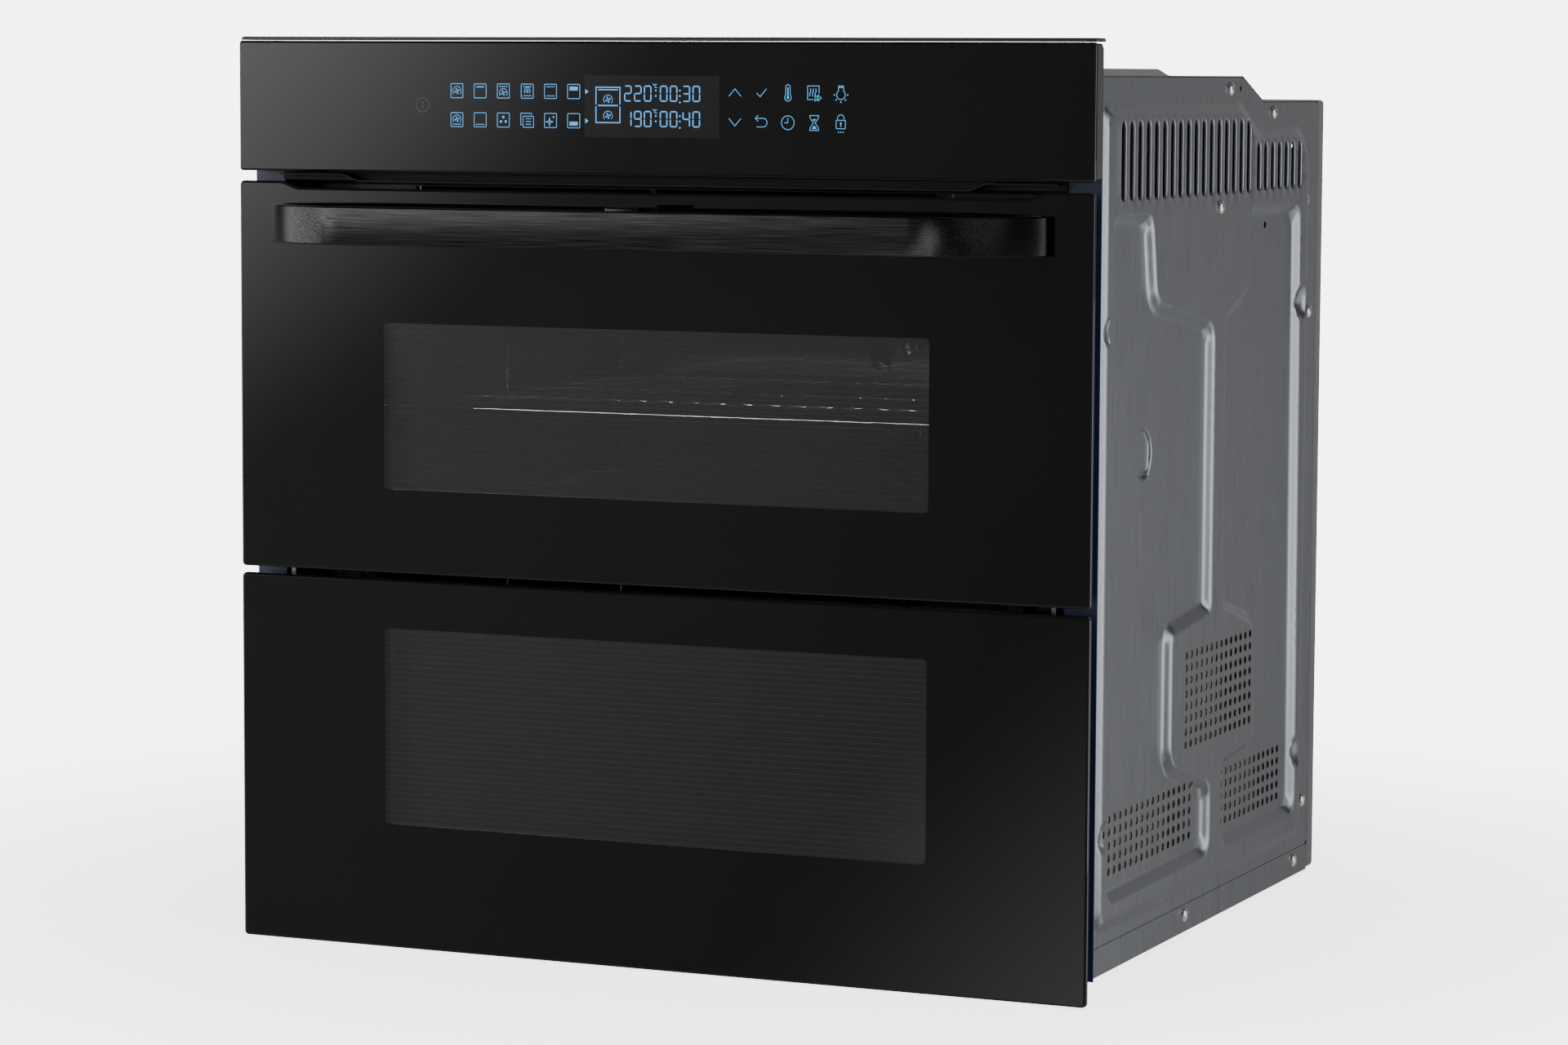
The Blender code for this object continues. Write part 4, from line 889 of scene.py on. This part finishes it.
digits = Strokes()
for figures, z in (("2200030", 551.4), ("1900040", 535.4)):
    for figure, x in zip(figures, (-18.2, -11.3, -4.4, 6.7, 13.6, 22.4, 29.3)):
        digits.move(x, z)
        digit(digits, figure)
    digits.move(0, z)
    for x, lift in ((3.9, 3.7), (3.9, 7.1), (20.6, -0.3), (20.6, 3.7), (20.6, 7.1)):
        digits.dot((x, lift), 0.6)
    digits.dot((2.3, 10.9), 0.45)
    digits.line(arc((4.1, 9.9), 1.0, 50, 310, 12), 0.45)
digits.move(-29.5, 0)  # the two ovens, one above the other
for edge, inner in ((538.0, 548.2), (560.3, 549.4)):
    digits.line([(-8.4, inner), (-8.4, edge), (8.4, edge), (8.4, inner)], 0.7)
for z, width in ((548.8, 0.8), (558.8, 0.7)):
    digits.bar(z, -7.0, 7.0, width)
for z in (552.4, 542.2):
    digits.fan(3.1, z)
digits.shape.write("display_figures", digit_blue, "oven", "black_glass")

# %% [markdown]
# ## Handle and release lever
# The handle is one flat bar, bowed off the glass: straight in the middle, with a round bend down to each
# foot. Its edges are broken by a small radius, and it is brushed along its length and stained black.

# %% Handle
bar_low, bar_high = box_mm("handle_bar")
HANDLE_HALF, STANDOFF, BEND, THICK = bar_high[0], FRONT - bar_low[1], 83.0, 8.0
FOOT_GAP = 0.3  # between the foot and the glass


def bow():
    """Matched points (x, y) on the bar's outer and inner face, from one foot to the other.

    Each bend is an arc of radius R that leaves the straight part tangentially and turns by
    arccos(1 - d / R) until it has come back by the stand-off d.
    """
    bend = math.acos(1 - STANDOFF / BEND)
    centre_x, centre_y = HANDLE_HALF - BEND * math.sin(bend), FRONT - STANDOFF + BEND
    inner = BEND - THICK
    inner_bend = math.acos((centre_y - FRONT + FOOT_GAP) / inner)
    faces = []
    for radius, end, drop in ((BEND, bend, 0), (inner, inner_bend, THICK)):
        turn = end * np.linspace(1, 0, 40)
        side = np.column_stack([centre_x + radius * np.sin(turn), centre_y - radius * np.cos(turn)])
        side[:, 1] = np.minimum(side[:, 1], FRONT - FOOT_GAP)
        middle = np.linspace(1, -1, 9)[1:-1, None] * [[centre_x, 0]] + [0, FRONT - STANDOFF + drop]
        faces.append(np.vstack([side, middle, side[::-1] * [-1, 1]]))
    return faces


def bar_rings(outer, inner, low, high, radius, steps=4):
    """A rounded rectangle at each station: u runs from the outer to the inner face, z from low to high."""
    turn = np.linspace(0, math.pi / 2, steps + 1)
    side, rise = (1 - np.cos(turn)) * radius, (1 - np.sin(turn)) * radius
    depth = np.concatenate([side, -side[::-1], -side, side[::-1]])
    far = np.repeat([0, 1, 1, 0], steps + 1)
    height = np.concatenate([high - rise, high - rise[::-1], low + rise, low + rise[::-1]])
    thick = np.linalg.norm(inner - outer, axis=1)[:, None]
    share = np.clip(far + depth / np.maximum(thick, 1e-6), 0, 1)
    flat = outer[:, None] + (inner - outer)[:, None] * share[..., None]
    return np.dstack([flat, np.broadcast_to(height, flat.shape[:2])])


handle_points, handle_faces = skin(bar_rings(*bow(), bar_low[2], bar_high[2], 1.1))
piece("bowed_handle", handle_points, [block[..., ::-1] for block in handle_faces], black_bar, "upper_door",
      "black_brushed_steel", ["handle_bar"], angle=40)

low, high = box_mm("release_lever")
levels = [(0.6, low[2]), (0.0, low[2] + 0.6), (0.0, high[2] - 1.0), (0.3, high[2] - 0.3), (1.0, high[2])]
lever = stacked(rectangle(low[0], high[0], low[1], high[1], 3.0, 6), levels)
piece("release_key", *lever, black_bar, "release", "black_brushed_steel", ["release_lever"])

# %% [markdown]
# ## Trim above the glass and between panel and doors
# A satin cap closes the top of the panel. Below the panel a black extrusion lines the air gap: a thin lip
# steps down towards the middle, and a folded liner behind it closes the gap to the air duct. Plates close
# the duct beside the blower and the blower's own ends, and a trim with two stop blocks covers the upper
# door's frame.

# %% Cap and gap trim
low, high = box_mm("panel_cap")
cap = stacked(rectangle(low[0], high[0], low[1], high[1], 5.0, 8),
              [(0.0, low[2]), (0.0, high[2] - 1.1), (0.25, high[2] - 0.4), (1.0, high[2])])
piece("panel_top_cap", *cap, satin_black, "oven", "black_plastic", ["panel_cap"])

LIP_Z, LIP_DROP, LIP_HALF, GAP_HALF = 502.6, 4.2, 271, 273.5
share = np.linspace(0, 1, 9)
lip_step = np.column_stack([212 + 14 * share, LIP_Z - LIP_DROP * (1 - smooth_step(share))])[::-1]
lip_line = np.vstack([[(LIP_HALF, LIP_Z)], lip_step, lip_step[::-1] * [-1, 1], [(-LIP_HALF, LIP_Z)]])
LIP = [(-276.5, -0.5), (-276.5, 0.5), (-256.0, 0.5), (-256.0, 1.6), (-254.8, 1.6), (-254.8, -0.5)]
LINER = [(-266.8, 505.2), (-266.8, 499.2), (-240.5, 499.2), (-240.5, 495.5), (-241.0, 495.5),
         (-241.0, 498.7), (-267.3, 498.7), (-267.3, 505.2)]
gap_trim = Shape()
gap_trim.add(*skin([[(x, y, z + lift) for y, lift in LIP] for x, z in lip_line]))
gap_trim.add(*skin([[(x, y, z) for y, z in LINER] for x in (-GAP_HALF, GAP_HALF)]))
gap_trim.write("air_gap_trim", gap_black, "oven", "black_plastic", angle=25)

# %% Duct and door closings
PLATE, MARGIN = 1.0, 1.4
SHAFT_Y, SHAFT_Z, SHAFT_HOLE, DRUM = -10.0, 505.0, 6.0, 40.5
shoulders = Shape()
duct_low, duct_high = box_mm("air_duct")
blower_half = box_mm("blower_housing")[1][0]
for side in (-1, 1):
    near, far = sorted((side * (blower_half + 1), side * (duct_high[0] - MARGIN)))
    shoulder = rectangle(near, far, duct_low[2] + MARGIN, duct_high[2] - MARGIN, 1.0, 3)
    shoulders.add(*skin([upright(shoulder, duct_high[1] - drop) for drop in (0.2, 0.2 + PLATE)]))
    ends = [(SHAFT_HOLE, 0.3), (DRUM, 0.3), (DRUM, 0.3 + PLATE), (SHAFT_HOLE, 0.3 + PLATE)]
    discs = [np.insert(circle((SHAFT_Y, SHAFT_Z), radius, 36)[::side], 0, side * (blower_half + out), 1)
             for radius, out in ends]
    shoulders.add(*skin(discs, closed=True))
shoulders.write("duct_shoulders", top_steel, "oven", "galvanised_steel")

door_top = Shape()
low, high = box_mm("upper_door_frame")
solids = [(rectangle(low[0] + 0.5, high[0] - 0.5, low[1] + 0.2, high[1] - 0.2, 3.0, 5),
           [(0.0, 0.15), (0.0, 1.0), (0.3, 1.5), (0.9, 1.7)])]
solids += [(rectangle(x - 9, x + 9, -276.0, -262.0, 2.0, 4), [(0, 1.7), (0, 4.6), (0.4, 5.2), (1.2, 5.4)])
           for x in (-245, 245)]
for outline, levels in solids:
    door_top.add(*stacked(outline, [(inset, high[2] + lift) for inset, lift in levels]))
door_top.write("door_top_trim", gap_black, "upper_door", "black_plastic")

# %% [markdown]
# ## Racks and shelf
# The side racks and the grid shelf are chromed wire: round bars, bent at the ends and spot-welded where
# they cross. Their joints overlap a little, as welds do.

# %% Wirework
rack_low, rack_high = box_mm("side_rack_right")
RACK_FRONT, RACK_REAR, RACK_FOOT, RACK_TOP = -223, 148, 78, 408
RUNNERS = (98.0, 164.0, 234.0, 276.0, 342.0)


def wire_loop(corners, bend, *rest):
    """A closed wire through corners that start and end at the middle of one side."""
    return tube(bent_path(corners, bend)[1:-1], *rest, closed=True)


def side_rack():
    shape = Shape()
    x = (rack_low[0] + rack_high[0]) / 2
    corners = [(RACK_FRONT, 200), (RACK_FRONT, RACK_FOOT), (RACK_REAR, RACK_FOOT), (RACK_REAR, RACK_TOP),
               (RACK_FRONT, RACK_TOP), (RACK_FRONT, 200)]
    shape.add(*wire_loop([(x + 1, *corner) for corner in corners], 14, 2.0, (1, 0, 0), 14))
    for z in RUNNERS:
        shape.add(*rod((x - 0.6, RACK_FRONT, z), (x - 0.6, RACK_REAR, z), 1.7, (1, 0, 0)))
    shape.add(*rod((x + 1.4, -38, RACK_FOOT), (x + 1.4, -38, RACK_TOP), 1.7, (1, 0, 0)))
    return np.vstack(shape.points), shape.faces


for name, side in SIDES[::-1]:
    piece("side_rack_wires_" + name, *sided(side, *side_rack()), chrome, "oven", "chromed_wire",
          ["side_rack_" + name])

SHELF_HALF, SHELF_FRONT, SHELF_REAR = 216, -222, 146
shelf_z = box_mm("wire_rack")[0][2] + 2.6
shelf = Shape()
corners = [(0, SHELF_FRONT), (SHELF_HALF, SHELF_FRONT), (SHELF_HALF, SHELF_REAR), (-SHELF_HALF, SHELF_REAR),
           (-SHELF_HALF, SHELF_FRONT), (0, SHELF_FRONT)]
shelf.add(*wire_loop([(*corner, shelf_z) for corner in corners], 16, 2.6, (0, 0, 1), 16))
for y in (-90.0, 10.0):
    shelf.add(*rod((-SHELF_HALF, y, shelf_z - 0.4), (SHELF_HALF, y, shelf_z - 0.4), 2.2, (0, 0, 1), 14))
for x in 19.5 * np.arange(-10, 11):
    shelf.add(*rod((x, SHELF_FRONT, shelf_z + 1.2), (x, SHELF_REAR, shelf_z + 1.2), 1.4, (0, 0, 1)))
shelf.write("grid_shelf_wires", chrome, "oven", "chromed_wire", nodes=["wire_rack"])

# %% [markdown]
# ## Heating elements
# Each element is a sheathed rod bent to its path. The ring elements go round the fans behind the baffle,
# the grill runs to and fro under the roof, and the bottom element lies hidden below the floor.

# %% Elements
RING, LEG, RING_Y, SHEATH = 70.0, 12.0, 178.0, 3.2  # ring radius, half gap, plane, rod radius
WALL_Y, GRILL_Z, FLOOR_Z = 224.0, 418.0, 56.4
for name, z in (("upper", 342.0), ("lower", 149.0)):
    gap = math.degrees(math.asin(LEG / RING))
    element = Shape()
    element.add(*tube(upright(arc((0, z), RING, gap - 90, 270 - gap, 72), RING_Y), SHEATH, (0, 1, 0), 14))
    for x in (LEG, -LEG):
        leg = [(x, y, z - RING) for y in (WALL_Y, RING_Y + 3.0, RING_Y - 2.5)]
        element.add(*tube(leg, SHEATH, (1, 0, 0), 14))
    element.write("ring_element_" + name, bright_steel, "oven", "bright_steel", nodes=["ring_heater_" + name])


def serpentine(across, along, passes):
    """Corners (u, v) of a flat run to and fro along v that steps across u."""
    columns = np.repeat(np.linspace(*across, passes), 2)
    rows = np.tile([along[0], along[1], along[1], along[0]], passes)[:2 * passes]
    return np.column_stack([columns, rows])


run = serpentine((-190.0, 190.0), (125.0, -170.0), 8)
flat = np.vstack([[(-30.0, WALL_Y), (-30.0, 150.0), (-190.0, 150.0)], run[1:-1],
                  [(190.0, 150.0), (30.0, 150.0), (30.0, WALL_Y)]])
piece("grill_element_rod", *tube(bent_path(level(flat, GRILL_Z), 14), SHEATH, (0, 0, 1), 14), bright_steel,
      "oven", "bright_steel", ["grill_element"])
run = serpentine((-180.0, 140.0), (-180.0, 180.0), 6)[:, ::-1]
piece("bottom_element_rod", *tube(bent_path(level(run, FLOOR_Z), 14), 3.0, (0, 0, 1)), bright_steel,
      "oven", "bright_steel", ["bottom_element"])

# %% [markdown]
# ## Finishes for the parts kept from the solid model
# Frames, liner, gasket, fans, panes and boards keep their solid shape and get a proper surface.

# %% Kept parts
KEPT = {
    navy: "front_frame",
    case_steel: "base_tray hinge_receiver_left hinge_receiver_right lower_door_frame upper_door_frame "
                "mid_hinge_bracket_left mid_hinge_bracket_right mid_hinge_pin_left mid_hinge_pin_right",
    top_steel: "air_duct blower_housing",
    bright_steel: "hinge_hook_left hinge_hook_right main_hinge_pin_left main_hinge_pin_right "
                  "handle_screw_left handle_screw_right fan_motor_upper fan_motor_lower fan_wheel_upper "
                  "fan_wheel_lower temperature_probe lamp_holder blower_motor",
    cavity: "cavity_liner divider_plate fan_baffle",
    wool: "insulation",
    clear_glass: "lower_inner_glass upper_inner_glass",
    coated_glass: "lower_middle_glass upper_middle_glass",
    lamp_glass: "lamp_lens lamp_bulb",
    housing_black: "panel_housing display_module blower_wheel",
    rubber: "door_gasket",
    board_green: "touch_board power_board",
}
for surface, names in KEPT.items():
    for name in names.split():
        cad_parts[name].data.materials.clear()
        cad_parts[name].data.materials.append(surface)
print(sum(len(names.split()) for names in KEPT.values()), "parts refinished")

# %% [markdown]
# ## Studio
# A pale floor and soft lamps. The oven is shot from its right and a little above. Most lamps only light
# the sheet metal evenly; two strips at the right and one small lamp in the cavity are also seen as
# highlights. What the black glass mirrors is a dim sky with soft glows in chosen directions, so that it
# shows a gradient.

# %% Floor
def direction(azimuth, elevation):
    """The unit vector at an azimuth (0 in front of the oven, 90 to its right) and an elevation."""
    turn, lift = math.radians(azimuth), math.radians(elevation)
    return (math.sin(turn) * math.cos(lift), -math.cos(turn) * math.cos(lift), math.sin(lift))


BACKDROP = 6.0  # brightness of what the camera sees behind the oven
FLOOR_HALF, FLOOR_FRONT, FLOOR_REAR = 6, -2.0, 8
SHADED, OPEN_FLOOR = 0.35, 1.1  # the floor takes shadows up to here, and glows by itself from there on
floor_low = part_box("lower_door_glass")[0][2] - 0.001
pale = finish("pale_studio_floor", greys(0.80, 0.82), (0.6, 0.7), 0.0, 0.4)
tree = pale.node_tree
glow = tree.nodes.new("ShaderNodeEmission")
glow.inputs["Strength"].default_value = BACKDROP
where = tree.nodes.new("ShaderNodeTexCoord")
length = tree.nodes.new("ShaderNodeVectorMath")
length.operation = "LENGTH"
tree.links.new(where.outputs["Object"], length.inputs[0])
fade = span(tree, length.outputs["Value"], SHADED, OPEN_FLOOR, 0.5, 1.0, "SMOOTHSTEP")
mixed = tree.nodes.new("ShaderNodeMixShader")
for near, far in ((fade, mixed.inputs["Fac"]),
                  (tree.nodes["Principled BSDF"].outputs["BSDF"], mixed.inputs[1]),
                  (glow.outputs["Emission"], mixed.inputs[2]),
                  (mixed.outputs["Shader"], tree.nodes["Material Output"].inputs["Surface"])):
    tree.links.new(near, far)
mesh = bpy.data.meshes.new("studio_floor")
mesh.from_pydata([(x, y, floor_low) for x, y in ((-FLOOR_HALF, FLOOR_FRONT), (FLOOR_HALF, FLOOR_FRONT),
                                                 (FLOOR_HALF, FLOOR_REAR), (-FLOOR_HALF, FLOOR_REAR))],
                 [], [(0, 1, 2, 3)])
mesh.materials.append(pale)
floor = bpy.data.objects.new("studio_floor", mesh)
bpy.context.scene.collection.objects.link(floor)
floor.visible_glossy = floor.visible_diffuse = False


# %% Lamps
def softbox(name, place, size, power, mirrored_too=False):
    """A lamp that points at the oven's middle. Only some show as a highlight in metal and glass."""
    lamp = bpy.data.lights.new(name, "AREA")
    lamp.shape, lamp.size, lamp.size_y = "RECTANGLE", *size
    lamp.energy = power
    made = bpy.data.objects.new(name, lamp)
    made.location = place
    made.rotation_euler = (Vector((0, 0, 0.3)) - Vector(place)).to_track_quat("-Z", "Y").to_euler()
    made.visible_glossy, made.visible_camera = mirrored_too, False
    bpy.context.scene.collection.objects.link(made)


softbox("softbox_top", (0.2, -0.4, 3.2), (3.0, 3.0), 200)
softbox("softbox_front_left", (-2.4, -2.6, 1.6), (1.6, 1.6), 50)
softbox("softbox_right", (2.8, -0.8, 1.4), (1.6, 1.6), 50)
softbox("strip_light_right", (1.5, 0.38, 0.4), (0.8, 1.2), 9, mirrored_too=True)
softbox("softbox_behind", (1.55, 1.4, -0.2), (0.9, 1.2), 2.6, mirrored_too=True)
softbox("light_in_cavity", (0.0, -0.23, 0.43), (0.40, 0.02), 1.0, mirrored_too=True)

# %% Sky
SKY = [(0.0, 0.55), (0.25, 0.40), (0.42, 0.19), (0.5, 0.11), (0.65, 0.05), (0.9, 0.06), (1.0, 0.4)]
# azimuth, elevation, radius of the even core, radius where it has faded out (all in degrees), brightness
GLOWS = [(-38, 8, 8, 15.4, 3.2), (-38, 6, 10, 24, 0.2), (-10, -19, 7, 16, 1.35), (-72, 0, 10, 34, 2.5),
         (-1, -3, 4, 10, 2.1), (180, 12, 12, 32, 0.35), (45, 14, 12, 30, 0.35)]
world = bpy.data.worlds.new("studio")
bpy.context.scene.world = world
world.use_nodes = True
tree = world.node_tree
where = tree.nodes.new("ShaderNodeTexCoord").outputs["Generated"]
split = tree.nodes.new("ShaderNodeSeparateXYZ")
tree.links.new(where, split.inputs["Vector"])
height = span(tree, split.outputs["Z"], -1.0, 1.0, 0.0, 1.0)
total = ramp(tree, height, [(place, grey(value)) for place, value in SKY])
for azimuth, elevation, core, edge, value in GLOWS:
    dot = tree.nodes.new("ShaderNodeVectorMath")
    dot.operation = "DOT_PRODUCT"
    dot.inputs[1].default_value = direction(azimuth, elevation)
    tree.links.new(where, dot.inputs[0])
    spread = span(tree, dot.outputs["Value"], math.cos(math.radians(edge)), math.cos(math.radians(core)),
                  0.0, value, "SMOOTHSTEP")
    added = tree.nodes.new("ShaderNodeVectorMath")
    tree.links.new(total, added.inputs[0])
    tree.links.new(spread, added.inputs[1])
    total = added.outputs["Vector"]
path = tree.nodes.new("ShaderNodeLightPath")
seen = tree.nodes.new("ShaderNodeMix")
seen.data_type = "RGBA"
seen.inputs["B"].default_value = (*grey(BACKDROP), 1)
tree.links.new(path.outputs["Is Camera Ray"], seen.inputs["Factor"])
tree.links.new(total, seen.inputs["A"])
tree.links.new(seen.outputs["Result"], tree.nodes["Background"].inputs["Color"])

# %% Camera
camera = bpy.data.cameras.new("camera")
camera.lens = 107.24
view = bpy.data.objects.new("camera", camera)
view.location = (1.2529, -2.9638, 0.5693)
view.rotation_euler = (math.radians(90 - 5.488), math.radians(-0.286), math.radians(23.425))
bpy.context.scene.collection.objects.link(view)
bpy.context.scene.camera = view
